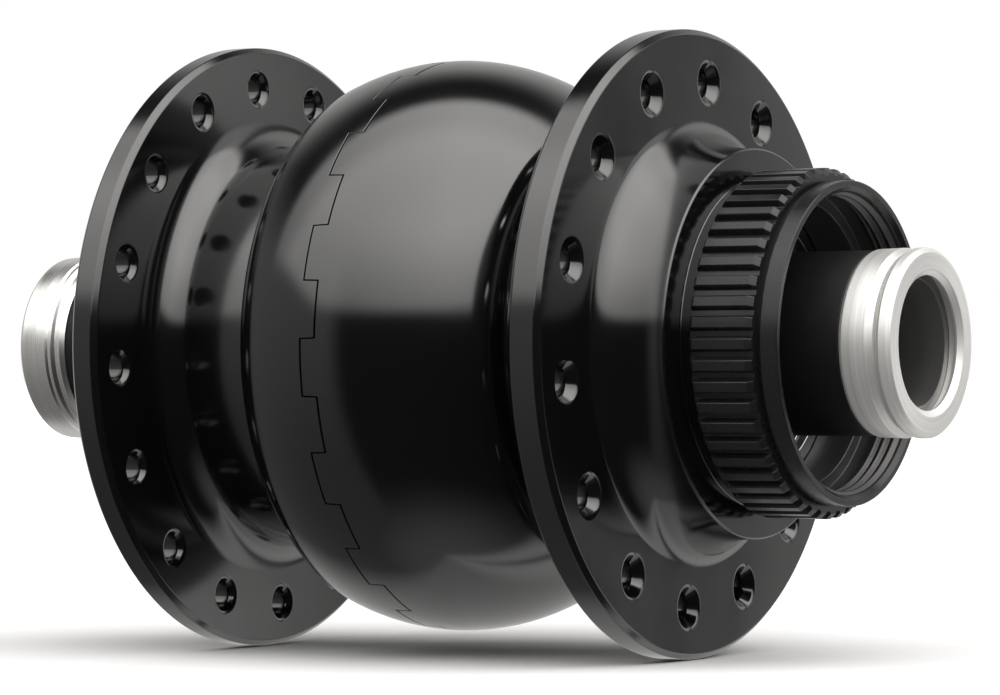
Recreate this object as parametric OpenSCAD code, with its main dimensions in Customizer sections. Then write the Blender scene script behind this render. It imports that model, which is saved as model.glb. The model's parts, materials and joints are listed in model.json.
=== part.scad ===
// Hub dynamo for a bicycle front wheel, with a splined seat for a brake disc.
// The axle lies along Y. The brake disc side is +Y, and +Z is up. The origin is on the axle,
// midway between the two end faces that the fork clamps.
// Profiles are drawn flat as (radius, place along the axle) and turned about the axle.

/* [Axle and end caps] */
// Distance between the two end faces
over_locknut = 100; // [96:0.5:110]
// Bore for the thru axle
axle_bore_d = 12.1; // [10:0.1:12.4]
// Outside diameter of the axle tube
axle_d = 15; // [14.6:0.1:15.6]
// Depth of the axle tube's ends inside the end caps
axle_inset = 1.6; // [1:0.1:3]
// Length of the end cap on the disc side
disc_cap_l = 5.4; // [4.5:0.1:7]
// Diameter of the end cap on the disc side
disc_cap_d = 18; // [17.4:0.1:19.5]
// Length of the end cap on the connector side
wire_cap_l = 5.5; // [4.5:0.1:7]
// Diameter of the end cap on the connector side
wire_cap_d = 19; // [17.6:0.1:20]
// Diameter of the black spacer sleeves
sleeve_d = 17.6; // [17:0.1:18]
// Chamfer at the mouth of the bore
mouth_chamfer = 0.4; // [0.2:0.1:0.8]

/* [Hub shell] */
// Largest diameter of the round middle
bulb_d = 56.7; // [56:0.1:60]
// Place of the round middle's centre along the axle
bulb_mid = -1.2; // [-1.6:0.1:-0.8]
// Radius of the crown across the round middle
crown_r = 22; // [21:0.5:24]
// Width of the crown from its centre to the connector side
crown_half = 8; // [7.6:0.1:8.4]
// Radius of the shoulder on the connector side
shoulder_r = 5.7; // [5.3:0.1:6.1]
// Width of the crown from its centre to the disc side
disc_crown_half = 15; // [14:0.1:15.6]
// Radius of the shoulder on the disc side
disc_shoulder_r = 3; // [2.6:0.1:3.4]
// Diameter of the necks between the round middle and the flanges
neck_d = 39; // [37:0.2:40]
// Fillet from each neck to its flange
neck_fillet = 3.5; // [2:0.1:3.6]
// Fillet from each neck to the round middle
bulb_fillet = 1.5; // [0.8:0.1:2]
// Wall of the hub shell beside the cavity
side_wall = 2; // [1.6:0.1:2.4]
// Inside diameter of the hollow necks
neck_bore_d = 30; // [27:0.5:32]

/* [Spoke flanges] */
// Diameter of both spoke flanges
flange_d = 61; // [60:0.1:66]
// Chamfer round the rim of the flanges
rim_chamfer = 0.5; // [0.2:0.05:0.8]
// Outer face of the disc side flange, from the middle of the axle
disc_flange_face = 25; // [24.8:0.1:26]
// Thickness of the disc side flange
disc_flange_t = 3.5; // [3:0.1:3.9]
// Outer face of the connector side flange, from the middle of the axle
wire_flange_face = 28; // [27.6:0.1:28.6]
// Thickness of the connector side flange
wire_flange_t = 3; // [2.8:0.1:3.6]
// Spoke holes in the disc side flange
disc_spokes = 14; // [12:1:16]
// Distance from the rim to the middle of the holes in the disc side flange
disc_hole_in = 5; // [4.2:0.1:6]
// Spoke holes in the connector side flange
wire_spokes = 16; // [12:1:18]
// Distance from the rim to the middle of the holes in the connector side flange
wire_hole_in = 4.2; // [3.4:0.1:5]
// Spoke hole
spoke_hole_d = 2.6; // [2.3:0.1:3]
// Mouth of the countersinks in the disc side flange
disc_sink_d = 4.8; // [3.6:0.1:5]
// Mouth of the countersinks in the connector side flange
wire_sink_d = 4.1; // [3.6:0.1:4.6]

/* [Brake disc seat] */
// Place of the face that the brake disc rests on
seat_face = 31.6; // [31.4:0.1:32.2]
// Diameter of that face
seat_d = 36.9; // [36.2:0.1:37.3]
// Diameter of the boss under the seat
boss_d = 37.6; // [37.4:0.1:38.6]
// Fillet from the disc side flange to the boss
boss_fillet = 2; // [1.6:0.1:2.6]
// How much wider the boss is at its fillet than at its edge, in radius
boss_taper = 0.8; // [0.4:0.1:1]
// Length of the tapering part of the boss, from the flange
boss_taper_l = 5; // [4:0.1:5.6]
// Diameter over the splines
spline_d = 33.5; // [33:0.1:34]
// Diameter at the root of the splines
spline_root_d = 32; // [31.6:0.1:32.2]
// Number of splines
spline_teeth = 52; // [40:1:60]
// Relief between the seat and the splines
seat_relief = 1.3; // [0.8:0.1:1.6]
// End of the splines
spline_end = 39.5; // [38.5:0.1:39.7]
// End of the collar
collar_end = 41.7; // [41.4:0.1:43]
// Diameter of the collar
collar_d = 31; // [30.8:0.1:31.2]
// Thread for the lock ring, nominal diameter
thread_d = 29; // [28.6:0.1:29.2]
// Length of that thread
thread_l = 3.4; // [2.5:0.1:3.6]
// Diameter of the relief behind the thread
thread_relief_d = 29.4; // [29.2:0.05:29.6]
// Length of the relief behind the thread
thread_relief_l = 1.7; // [1:0.1:2]
// Bore between the thread relief and the bearing
entry_bore_d = 27; // [26.6:0.1:27.6]

/* [Seam] */
// Castellations where the two halves of the shell meet
seam_teeth = 16; // [8:1:24]
// Middle of the castellated seam along the axle
seam_mid = -1.75; // [-2.2:0.05:-1.2]
// Height of the castellations
seam_h = 1.65; // [1:0.05:2.4]
// Gap in the seam
seam_gap = 0.14; // [0.08:0.01:0.3]
// Thickness of the ring seal under the seam
seal_section = 1.1; // [0.8:0.1:1.2]

/* [Bearings] */
// Outside diameter of the bearings
bearing_d = 26; // [25.8:0.1:26.4]
// Width of the bearings
bearing_w = 7; // [6.6:0.1:7.4]
// Diameter of the balls
ball_d = 3.5; // [3.2:0.05:3.6]
// Balls in each bearing
balls = 11; // [8:1:12]
// Inner end of the disc side bearing, from the middle of the axle
disc_bearing_at = 24.5; // [24:0.1:24.5]
// Inner end of the connector side bearing, from the middle of the axle
wire_bearing_at = 27.5; // [27:0.1:27.8]
// Thickness of the circlips
circlip_t = 1; // [0.8:0.05:1.2]
// Diameter of the bearing bosses on the connector side
wire_boss_d = 33; // [32:0.2:34]

/* [Generator] */
// Outside diameter of the flux ring
flux_d = 50.6; // [50:0.1:51]
// Wall of the flux ring
flux_t = 1.4; // [1:0.1:1.6]
// Thickness of the magnets
magnet_t = 2.2; // [1.8:0.1:2.4]
// Width of the flux ring and magnets
magnet_w = 15; // [13:0.5:15]
// Magnet poles, an even number
poles = 26; // [20:2:32]
// Air gap between the magnets and the claws
air_gap = 0.4; // [0.3:0.05:0.7]
// Thickness of the claw plates
plate_t = 1.5; // [1:0.1:1.8]
// Thickness of the claws
claw_t = 1.6; // [1.2:0.1:1.8]
// Share of a pole that a claw covers
claw_share = 0.68; // [0.5:0.02:0.8]
// Outside diameter of the stator core
core_d = 22; // [20:0.5:24]
// Wall of the coil former
former_t = 0.8; // [0.6:0.1:1]

/* [Connector] */
// Width of the terminals
blade_w = 4.8; // [4:0.1:5]
// Thickness of the terminals
blade_t = 0.8; // [0.6:0.1:1]
// Height of the terminals' tips above the axle's centre
blade_top = 23; // [21:0.5:25]
// Distance between the terminals
blade_pitch = 7.4; // [6.6:0.1:8]
// Height of the connector block above the axle's centre
block_top = 17; // [16:0.1:18]
// Diameter of the connector disc
connector_d = 28; // [26:0.5:30]
// Thickness of the connector disc
connector_t = 2.4; // [2.2:0.1:2.6]
// Diameter of the leads
lead_d = 0.8; // [0.6:0.05:0.9]

/* [Hidden] */

$fn = 96;
fit = 0.02;          // gap between pieces that sit together
run = 0.4;           // gap between turning and still pieces
eps = 0.01;          // overshoot of a cut past a face
half = over_locknut / 2;
bore_r = axle_bore_d / 2;
axle_r = axle_d / 2;
seat_r = axle_r + fit;
axle_half = half - axle_inset;
axle_chamfer = 0.3;
sleeve_r = sleeve_d / 2;

// Hub shell
bulb_r = bulb_d / 2;
neck_r = neck_d / 2;
neck_bore_r = neck_bore_d / 2;
flange_r = flange_d / 2;
disc_pcd = flange_d - 2 * disc_hole_in;
wire_pcd = flange_d - 2 * wire_hole_in;
disc_flange_in = disc_flange_face - disc_flange_t;
wire_flange_in = wire_flange_face - wire_flange_t;
crown_mid_r = bulb_r - crown_r;
shoulder_tilt = asin(crown_half / crown_r);
shoulder_mid_r = crown_mid_r + (crown_r - shoulder_r) * cos(shoulder_tilt);
shoulder_off = (crown_r - shoulder_r) * sin(shoulder_tilt);
bulb_half = shoulder_off + shoulder_r;
disc_shoulder_tilt = asin(disc_crown_half / crown_r);
disc_shoulder_mid_r = crown_mid_r + (crown_r - disc_shoulder_r) * cos(disc_shoulder_tilt);
disc_shoulder_off = (crown_r - disc_shoulder_r) * sin(disc_shoulder_tilt);
disc_bulb_side = bulb_mid + disc_shoulder_off + disc_shoulder_r;
disc_bulb_fillet = min(bulb_fillet, disc_shoulder_mid_r - neck_r);
wire_bulb_side = bulb_mid - bulb_half;
flux_r = flux_d / 2;
cavity_r = flux_r + fit;
cavity_half = bulb_half - side_wall;
magnet_half = magnet_w / 2;
cavity_corner = min(3, cavity_half - magnet_half - 0.1);
seal_drop = 1.7;            // from the foot of the castellations to the ring seal
seal_place = seam_mid - seam_h / 2 - seal_drop;
seal_mid_r = flux_r + fit + seal_section / 2;
boss_r = boss_d / 2;
boss_foot_r = boss_r + boss_taper;
wire_boss_fillet = 2;
seat_round = (boss_d - seat_d) / 2;
spline_start = seat_face + seat_relief;
spline_root_r = spline_root_d / 2;
spline_neck_r = spline_root_r - 0.3;
collar_groove = 0.4;
collar_groove_r = collar_d / 2 - 0.3;
thread_in = collar_end - thread_l;
thread_chamfer = 0.4;
spline_chamfer = 0.5;
spline_sink = 0.15;
spline_root_share = 0.36;   // half of a tooth at its root, as a share of the pitch
spline_tip_share = 0.22;    // half of a tooth at its tip, as a share of the pitch
disc_spoke_turn = 7.7;
wire_spoke_turn = 4.2;
seam_turn = 7.2;

// Bearings
bearing_r = bearing_d / 2;
pocket_r = bearing_r + fit;
pitch_r = (bearing_r + axle_r) / 2;
ball_r = ball_d / 2;
race_groove_r = ball_r + 0.02;
race_share = 0.66;          // how far a race's land lies from the ball's centre, as a share
inner_race_r = pitch_r - race_share * ball_r;
outer_race_r = pitch_r + race_share * ball_r;
seal_seat_r = outer_race_r + 0.5;
seal_t = 0.5;
seal_inset = 0.1;
seal_depth = seal_t + seal_inset + fit;
seal_play = 0.15;
race_chamfer = 0.3;
cage_t = ball_d + 0.5;
cage_gap = 0.35;
cage_play = 0.08;
pocket_web = 1.5;
pocket_lip_r = bearing_r - 1.2;
circlip_play = 0.05;
circlip_groove_r = bearing_r + 1;
circlip_in_r = bearing_r - 0.9;
ear_r = 1.3;
ear_hole_r = 0.6;
ear_turn = 9;
circlip_slot = circlip_t + 2 * circlip_play;
disc_bearing_out = disc_bearing_at + bearing_w;
wire_bearing_out = wire_bearing_at + bearing_w;
wire_boss_end = wire_bearing_out + circlip_slot + 1;

// Connector, between the shell's boss and the connector side sleeve
connector_in = wire_boss_end + run;
connector_out = connector_in + connector_t;
connector_mid = (connector_in + connector_out) / 2;
disc_cap_in = half - disc_cap_l;
wire_cap_in = half - wire_cap_l;
mouth_r = bore_r + 0.35;
cap_edge = 0.35;
wire_cap_step = 0.6;
wire_cap_band = 2.2;
wire_cap_rise = 0.15;       // small steps in radius along the connector side cap
wire_cap_fall = 0.1;
// Places along that cap, from its inner end: groove floor, foot and top of the ridge, band
wire_cap_places = [0.6, 1.2, 1.5, 1.9, 2.1];
cap_groove_at = 1.63;
cap_groove_r = 0.42;
block_w = blade_pitch + blade_w + 3.8;
blade_foot = block_top - 4.5;
connector_edge = 0.3;
lip_r = entry_bore_d / 2 - 0.5;
lip_t = 1;
lip_l = run + 0.5;
block_inset = 0.1;
blade_tip = 0.8;
blade_hole_r = 0.8;
blade_hole_at = 2.6;
foot_gap = 0.6;
foot_h = 1.2;

// Generator
magnet_out_r = flux_r - flux_t - fit;
magnet_in_r = magnet_out_r - magnet_t;
claw_r = magnet_in_r - air_gap;
claw_in_r = claw_r - claw_t;
plate_r = claw_in_r - 1.2;
pole_angle = 360 / poles;
magnet_angle = pole_angle - 1.2;
claw_angle = pole_angle * claw_share;
gen_mid = bulb_mid;
core_r = core_d / 2;
stator_half = magnet_half - 0.8;
plate_in = stator_half - plate_t;
former_out_r = plate_r - 0.3;
claw_tip_gap = 0.6;
winding_half = plate_in - former_t - 2 * fit;
lead_r = lead_d / 2;
lead_gap = lead_d + 0.4;
lead_hole_r = lead_r + 0.1;
bend_r = 2 * lead_r;
slot_w = lead_gap + lead_d + 0.3;
slot_depth = lead_d + 0.1;
lead_deep_r = axle_r - slot_depth + lead_r + 2 * fit;
lead_exit_r = core_r + former_t + 1.2;
lead_drop = gen_mid - stator_half - 3;
slot_in = lead_drop + lead_r + 0.4;
slot_out = -connector_mid - lead_r - 0.4;

// Turns a flat profile about the axle
module about_axle() {
    rotate([-90, 0, 0]) rotate_extrude() children();
}

// Turns a flat profile through one angle, from a start angle
module part_turn(start, angle) {
    rotate([-90, 0, 0]) rotate([0, 0, start]) rotate_extrude(angle = angle) children();
}

// A flat ring section from radius r1 to r2 and from place t1 to t2
module band(r1, r2, t1, t2) {
    translate([r1, t1]) square([r2 - r1, t2 - t1]);
}

// The flat section that a fillet of radius r adds in an inside corner
module fillet_corner(r) {
    difference() {
        square(r);
        translate([r, r]) circle(r);
    }
}

// A ring section with chamfered outer corners
module chamfered_band(r1, r2, t1, t2, c) {
    polygon([[r1, t1], [r2 - c, t1], [r2, t1 + c], [r2, t2 - c], [r2 - c, t2], [r1, t2]]);
}

// Countersunk spoke holes, through a flange from place t1 to t2
module spoke_holes(count, pcd, sink_d, t1, t2, first) {
    hole_r = spoke_hole_d / 2;
    sink_r = sink_d / 2 + eps;
    depth = sink_r - hole_r;
    for (i = [0 : count - 1])
        rotate([0, first + i * 360 / count, 0]) translate([pcd / 2, 0, 0]) rotate([-90, 0, 0]) {
            translate([0, 0, t1 - 1]) cylinder(r = hole_r, h = t2 - t1 + 2, $fn = 48);
            translate([0, 0, t1 - eps]) cylinder(r1 = sink_r, r2 = hole_r, h = depth, $fn = 48);
            translate([0, 0, t2 + eps - depth]) cylinder(r1 = hole_r, r2 = sink_r, h = depth, $fn = 48);
        }
}

// The fingers of the connector side shell, which stand in the notches of the disc side shell
module seam_fingers(t1, t2, wider) {
    sector = 180 / seam_teeth;
    extra = wider / bulb_r * 180 / PI;
    for (i = [0 : seam_teeth - 1])
        part_turn((2 * i - 0.5) * sector - seam_turn - extra / 2, sector + extra)
            band(cavity_r - 1, bulb_r + 1, t1, t2);
}

// Outline of the round middle: the crown reaches further on the disc side, with a smaller shoulder
module bulb_outline() {
    intersection() {
        translate([crown_mid_r, bulb_mid]) circle(crown_r, $fn = 360);
        band(0, bulb_r + 1, bulb_mid - crown_half, bulb_mid + disc_crown_half);
    }
    translate([shoulder_mid_r, bulb_mid - shoulder_off]) circle(shoulder_r);
    translate([disc_shoulder_mid_r, bulb_mid + disc_shoulder_off]) circle(disc_shoulder_r);
    band(0, shoulder_mid_r, wire_bulb_side, bulb_mid);
    band(0, disc_shoulder_mid_r, bulb_mid - 1, disc_bulb_side);
}

// Outline of the disc side: neck, flange, boss, splined neck and collar
module disc_side_outline() {
    band(0, neck_r, disc_bulb_side - 1, disc_flange_in + 1);
    translate([neck_r, disc_bulb_side]) fillet_corner(disc_bulb_fillet);
    translate([neck_r, disc_flange_in]) mirror([0, 1]) fillet_corner(neck_fillet);
    chamfered_band(0, flange_r, disc_flange_in, disc_flange_face, rim_chamfer);
    band(0, boss_r, disc_flange_face - 1, seat_face - seat_round);
    polygon([[0, disc_flange_face - 1], [boss_foot_r, disc_flange_face - 1],
        [boss_foot_r, disc_flange_face + boss_fillet], [boss_r, disc_flange_face + boss_taper_l],
        [0, disc_flange_face + boss_taper_l]]);
    translate([boss_foot_r, disc_flange_face]) fillet_corner(boss_fillet);
    band(0, boss_r - seat_round, seat_face - seat_round - 1, seat_face);
    translate([boss_r - seat_round, seat_face - seat_round]) circle(seat_round);
    band(0, spline_neck_r, seat_face - 1, spline_end - spline_sink);
    band(0, collar_groove_r, spline_end - 1, collar_end);
    band(0, collar_d / 2, spline_end + collar_groove, collar_end);
}

// Outline of the connector side: neck, flange and bearing boss
module connector_side_outline() {
    band(0, neck_r, -wire_flange_in - 1, wire_bulb_side + 1);
    translate([neck_r, wire_bulb_side]) mirror([0, 1]) fillet_corner(bulb_fillet);
    translate([neck_r, -wire_flange_in]) fillet_corner(neck_fillet);
    chamfered_band(0, flange_r, -wire_flange_face, -wire_flange_in, rim_chamfer);
    chamfered_band(0, wire_boss_d / 2, -wire_boss_end, -wire_flange_face + 1, rim_chamfer);
    translate([wire_boss_d / 2, -wire_flange_face]) mirror([0, 1]) fillet_corner(wire_boss_fillet);
}

// The hollow for the generator, with rounded corners
module cavity_outline() {
    difference() {
        band(0, cavity_r, bulb_mid - cavity_half, bulb_mid + cavity_half);
        for (side = [0, 1])
            translate([cavity_r, bulb_mid]) mirror([0, side]) translate([0, cavity_half])
                mirror([1, 0]) mirror([0, 1]) fillet_corner(cavity_corner);
    }
}

// Bearing pocket, circlip groove and the way out to the boss's end
module pocket_outline(at, end) {
    band(0, neck_bore_r, 0, at - pocket_web);
    band(0, pocket_lip_r, at - pocket_web - 1, at + eps);
    band(0, pocket_r, at, at + bearing_w + eps);
    band(0, circlip_groove_r, at + bearing_w, at + bearing_w + circlip_slot);
    band(0, entry_bore_d / 2, at + bearing_w + circlip_slot - eps, end + 1);
}

// A ring of splines, sunk a little into the wall that carries it
module splines() {
    pitch = 360 / spline_teeth;
    tip_r = spline_d / 2;
    tooth = [[-spline_root_share, spline_root_r], [-spline_tip_share, tip_r],
             [spline_tip_share, tip_r], [spline_root_share, spline_root_r]];
    points = [for (i = [0 : spline_teeth - 1], p = tooth)
        p[1] * [cos((i + p[0]) * pitch), sin((i + p[0]) * pitch)]];
    intersection() {
        rotate([-90, 0, 0]) translate([0, 0, spline_start])
            linear_extrude(spline_end - spline_start) difference() {
                polygon(points);
                circle(collar_groove_r - spline_sink);
            }
        about_axle() chamfered_band(0, tip_r + eps, spline_start, spline_end, spline_chamfer);
    }
}

module disc_side_shell() {
    color("#18181a") {
        difference() {
            about_axle() difference() {
                union() {
                    bulb_outline();
                    disc_side_outline();
                }
                band(-1, bulb_r + 2, wire_bulb_side - 2, seam_mid - seam_h / 2 + seam_gap / 2);
            }
            about_axle() {
                cavity_outline();
                pocket_outline(disc_bearing_at, collar_end);
                band(0, thread_relief_d / 2, thread_in - thread_relief_l, thread_in + eps);
                band(0, thread_d / 2, thread_in, collar_end + 1);
                translate([0, collar_end - thread_chamfer])
                    polygon([[0, 0], [thread_d / 2, 0], [thread_d / 2 + 1, 1], [0, 1]]);
            }
            seam_fingers(wire_bulb_side, seam_mid + seam_h / 2 + seam_gap / 2, seam_gap);
            spoke_holes(disc_spokes, disc_pcd, disc_sink_d, disc_flange_in, disc_flange_face,
                        disc_spoke_turn);
        }
        splines();
    }
}

module connector_side_shell() {
    seam_low = seam_mid - seam_h / 2 - seam_gap / 2;
    color("#141416") difference() {
        union() {
            about_axle() {
                difference() {
                    bulb_outline();
                    band(-1, bulb_r + 2, seam_low, disc_bulb_side + 2);
                }
                connector_side_outline();
            }
            intersection() {
                about_axle() bulb_outline();
                seam_fingers(seam_low - 0.5, seam_mid + seam_h / 2 - seam_gap / 2, -seam_gap);
            }
        }
        about_axle() {
            cavity_outline();
            mirror([0, 1]) pocket_outline(wire_bearing_at, wire_boss_end);
            band(0, seal_mid_r + seal_section / 2 + fit, seal_place - seal_section / 2 - fit,
                 seal_place + seal_section / 2 + fit);
        }
        spoke_holes(wire_spokes, wire_pcd, wire_sink_d, -wire_flange_face, -wire_flange_in,
                    wire_spoke_turn);
    }
}

module seam_ring_seal() {
    color("#202020") about_axle() translate([seal_mid_r, seal_place]) circle(seal_section / 2);
}

module flux_ring() {
    color("#6b6f73") about_axle()
        band(magnet_out_r + fit, flux_r, gen_mid - magnet_half, gen_mid + magnet_half);
}

// Every second magnet of the ring, from the pole numbered first
module magnets(first) {
    for (i = [first : 2 : poles - 1])
        part_turn(i * pole_angle, magnet_angle)
            band(magnet_in_r, magnet_out_r, gen_mid - magnet_half, gen_mid + magnet_half);
}

module magnets_north() { color("#54575a") magnets(0); }
module magnets_south() { color("#3f4245") magnets(1); }

// Parts of one bearing, which starts at place t
module outer_race(t) {
    color("#b9bcc0") about_axle() difference() {
        chamfered_band(outer_race_r, bearing_r, t, t + bearing_w, race_chamfer);
        translate([pitch_r, t + bearing_w / 2]) circle(race_groove_r);
        band(0, seal_seat_r, t - 1, t + seal_depth);
        band(0, seal_seat_r, t + bearing_w - seal_depth, t + bearing_w + 1);
    }
}

module inner_race(t) {
    color("#b9bcc0") about_axle() difference() {
        band(seat_r, inner_race_r, t, t + bearing_w);
        translate([pitch_r, t + bearing_w / 2]) circle(race_groove_r);
    }
}

module ball_set(t, grow) {
    for (i = [0 : balls - 1])
        rotate([0, i * 360 / balls, 0]) translate([pitch_r, t + bearing_w / 2, 0])
            sphere(ball_r + grow, $fn = 48);
}

// The cage between the balls, drilled with one radial hole for each ball
module ball_cage(t) {
    mid = t + bearing_w / 2;
    color("#b08d57") difference() {
        about_axle() band(inner_race_r + cage_gap, outer_race_r - cage_gap,
                          mid - cage_t / 2, mid + cage_t / 2);
        for (i = [0 : balls - 1])
            rotate([0, i * 360 / balls, 0]) translate([inner_race_r - 1, mid, 0]) rotate([0, 90, 0])
                cylinder(r = ball_r + cage_play, h = bearing_r - inner_race_r, $fn = 48);
    }
}

module bearing_seals(t) {
    color("#1d1d1f") about_axle()
        for (start = [t + seal_inset, t + bearing_w - seal_inset - seal_t])
            band(inner_race_r + seal_play, seal_seat_r - fit, start, start + seal_t);
}

// An inside circlip with two eared ends, which starts at place t
module circlip(t) {
    ear_mid_r = circlip_in_r - ear_hole_r;
    color("#c9ccd0") difference() {
        union() {
            difference() {
                about_axle() band(circlip_in_r, circlip_groove_r - circlip_play, t, t + circlip_t);
                part_turn(-ear_turn, 2 * ear_turn) band(0, bearing_r + 3, t - 1, t + circlip_t + 1);
            }
            for (turn = [-ear_turn, ear_turn])
                rotate([0, turn, 0]) translate([ear_mid_r, t, 0]) rotate([-90, 0, 0])
                    cylinder(r = ear_r, h = circlip_t, $fn = 32);
        }
        for (turn = [-ear_turn, ear_turn])
            rotate([0, turn, 0]) translate([ear_mid_r, t - 1, 0]) rotate([-90, 0, 0])
                cylinder(r = ear_hole_r, h = circlip_t + 2, $fn = 32);
    }
}

module disc_side_outer_race() { outer_race(disc_bearing_at); }
module connector_side_outer_race() { outer_race(-wire_bearing_out); }
module disc_side_inner_race() { inner_race(disc_bearing_at); }
module connector_side_inner_race() { inner_race(-wire_bearing_out); }
module disc_side_balls() { color("#dfe2e5") ball_set(disc_bearing_at, 0); }
module connector_side_balls() { color("#dfe2e5") ball_set(-wire_bearing_out, 0); }
module disc_side_ball_cage() { ball_cage(disc_bearing_at); }
module connector_side_ball_cage() { ball_cage(-wire_bearing_out); }
module disc_side_bearing_seals() { bearing_seals(disc_bearing_at); }
module connector_side_bearing_seals() { bearing_seals(-wire_bearing_out); }
module disc_side_circlip() { circlip(disc_bearing_out + circlip_play); }
module connector_side_circlip() { circlip(-wire_bearing_out - circlip_play - circlip_t); }

module axle_tube() {
    color("#3a3a3c") difference() {
        about_axle() chamfered_band(bore_r, axle_r, -axle_half, axle_half, axle_chamfer);
        translate([-slot_w / 2, slot_out, axle_r - slot_depth])
            cube([slot_w, slot_in - slot_out, slot_depth + 1]);
    }
}

module disc_side_sleeve() {
    color("#121212") about_axle() band(seat_r, sleeve_r, disc_bearing_out, disc_cap_in);
}

module connector_side_spacer() {
    color("#121212") about_axle() band(seat_r, sleeve_r, -connector_in, -wire_bearing_out);
}

module connector_side_sleeve() {
    color("#121212") about_axle() band(seat_r, sleeve_r, -wire_cap_in, -connector_out);
}

// The bore of an end cap: a seat on the axle tube and the chamfered mouth of the thru axle's way
module cap_bore(inner_end) {
    band(0, seat_r, inner_end - 1, axle_half + fit);
    band(0, mouth_r, axle_half, half + 1);
    translate([0, half - mouth_chamfer])
        polygon([[0, 0], [mouth_r, 0], [mouth_r + 1, 1], [0, 1]]);
}

module disc_side_end_cap() {
    r = disc_cap_d / 2;
    color("#c8cacc") about_axle() difference() {
        chamfered_band(0, r, disc_cap_in, half, cap_edge);
        cap_bore(disc_cap_in);
        translate([r, half - cap_groove_at]) circle(cap_groove_r, $fn = 48);
    }
}

// A land, a shallow groove, a ridge and a broad band that runs out to the end face
module connector_side_end_cap() {
    r = wire_cap_d / 2;
    land_r = r - wire_cap_step;
    ridge_r = r - wire_cap_rise;
    t = [for (place = wire_cap_places) wire_cap_in + place];
    color("#c8cacc") about_axle() mirror([0, 1]) difference() {
        polygon([[0, wire_cap_in], [land_r, wire_cap_in],
            [land_r + wire_cap_rise, t[0]], [land_r + wire_cap_rise, t[1]],
            [ridge_r, t[2]], [ridge_r, t[3]], [r, t[4]], [r, half - wire_cap_band],
            [r - wire_cap_fall, half - cap_edge], [r - wire_cap_fall - cap_edge, half], [0, half]]);
        cap_bore(wire_cap_in);
    }
}

module stator_core() {
    color("#7c8083") about_axle() band(seat_r, core_r, gen_mid - plate_in, gen_mid + plate_in);
}

// One claw plate: a disc with a claw over every second pole. side is +1 towards the brake disc
module claw_plate(side) {
    first = side > 0 ? 0 : 1;
    plate_from = gen_mid + (side > 0 ? plate_in : -stator_half);
    claw_from = gen_mid - stator_half + (side > 0 ? claw_tip_gap : 0);
    color("#8b8f92") difference() {
        about_axle() {
            band(seat_r, claw_r, plate_from, plate_from + plate_t);
            band(claw_in_r, claw_r, claw_from, claw_from + 2 * stator_half - claw_tip_gap);
        }
        for (i = [first : 2 : poles - 1])
            part_turn((i + 0.5) * pole_angle + claw_angle / 2, 2 * pole_angle - claw_angle)
                band(plate_r, claw_r + 1, claw_from - 2, claw_from + 2 * stator_half + 2);
        if (side < 0) lead_holes(gen_mid - stator_half, plate_t);
    }
}

// Two holes for the leads, through a wall from place t and as thick as wall
module lead_holes(t, wall) {
    for (x = [-lead_gap / 2, lead_gap / 2])
        translate([x, t - 1, lead_exit_r]) rotate([-90, 0, 0])
            cylinder(r = lead_hole_r, h = wall + 2, $fn = 32);
}

module disc_side_claw_plate() { claw_plate(1); }
module connector_side_claw_plate() { claw_plate(-1); }

module coil_former() {
    wide = plate_in - fit;
    color("#2b2b2d") difference() {
        about_axle() {
            band(core_r + fit, core_r + former_t, gen_mid - wide, gen_mid + wide);
            for (t = [-wide, wide - former_t])
                band(core_r + fit, former_out_r, gen_mid + t, gen_mid + t + former_t);
        }
        lead_holes(gen_mid - wide, former_t);
    }
}

module coil_winding() {
    color("#b56a34") about_axle()
        band(core_r + former_t + fit, former_out_r - 0.4, gen_mid - winding_half, gen_mid + winding_half);
}

// A tube on the axle that holds a bearing's inner race away from the claw plate
module inner_spacer(t1, t2) {
    color("#8f9296") difference() {
        about_axle() band(seat_r, sleeve_r, t1, t2);
        if (t1 < 0)
            translate([-slot_w / 2, lead_drop - bend_r - lead_r, 0])
                cube([slot_w, stator_half + 10, sleeve_r + 1]);
    }
}

module disc_side_inner_spacer() { inner_spacer(gen_mid + stator_half, disc_bearing_at); }
module connector_side_inner_spacer() { inner_spacer(-wire_bearing_at, gen_mid - stator_half); }

// A quarter bend of a lead in the plane across X, about the point (y, z)
module lead_bend(y, z, start) {
    translate([0, y, z]) rotate([90, 0, 90]) rotate([0, 0, start])
        rotate_extrude(angle = 90) translate([bend_r, 0]) circle(lead_r, $fn = 32);
}

// A straight stretch of a lead that runs l towards the connector side, from place y
module lead_along(y, z, l) {
    translate([0, y, z]) rotate([90, 0, 0]) cylinder(r = lead_r, h = l, $fn = 32);
}

// A straight stretch of a lead that rises from z to top
module lead_up(y, z, top) {
    translate([0, y, z]) cylinder(r = lead_r, h = top - z, $fn = 32);
}

// Out of the winding, down to the slot in the axle tube, along it and up to the terminals
module stator_leads() {
    winding_end = gen_mid - winding_half - fit;
    color("#8c2f24") for (x = [-lead_gap / 2, lead_gap / 2]) translate([x, 0, 0]) {
        lead_along(winding_end, lead_exit_r, winding_end - lead_drop - bend_r);
        lead_bend(lead_drop + bend_r, lead_exit_r - bend_r, 90);
        lead_up(lead_drop, lead_deep_r + bend_r, lead_exit_r - bend_r);
        lead_bend(lead_drop - bend_r, lead_deep_r + bend_r, -90);
        lead_along(lead_drop - bend_r, lead_deep_r, connector_mid + lead_drop - 2 * bend_r);
        lead_bend(bend_r - connector_mid, lead_deep_r + bend_r, 180);
        lead_up(-connector_mid, lead_deep_r + bend_r, blade_foot - fit);
    }
}

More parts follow.
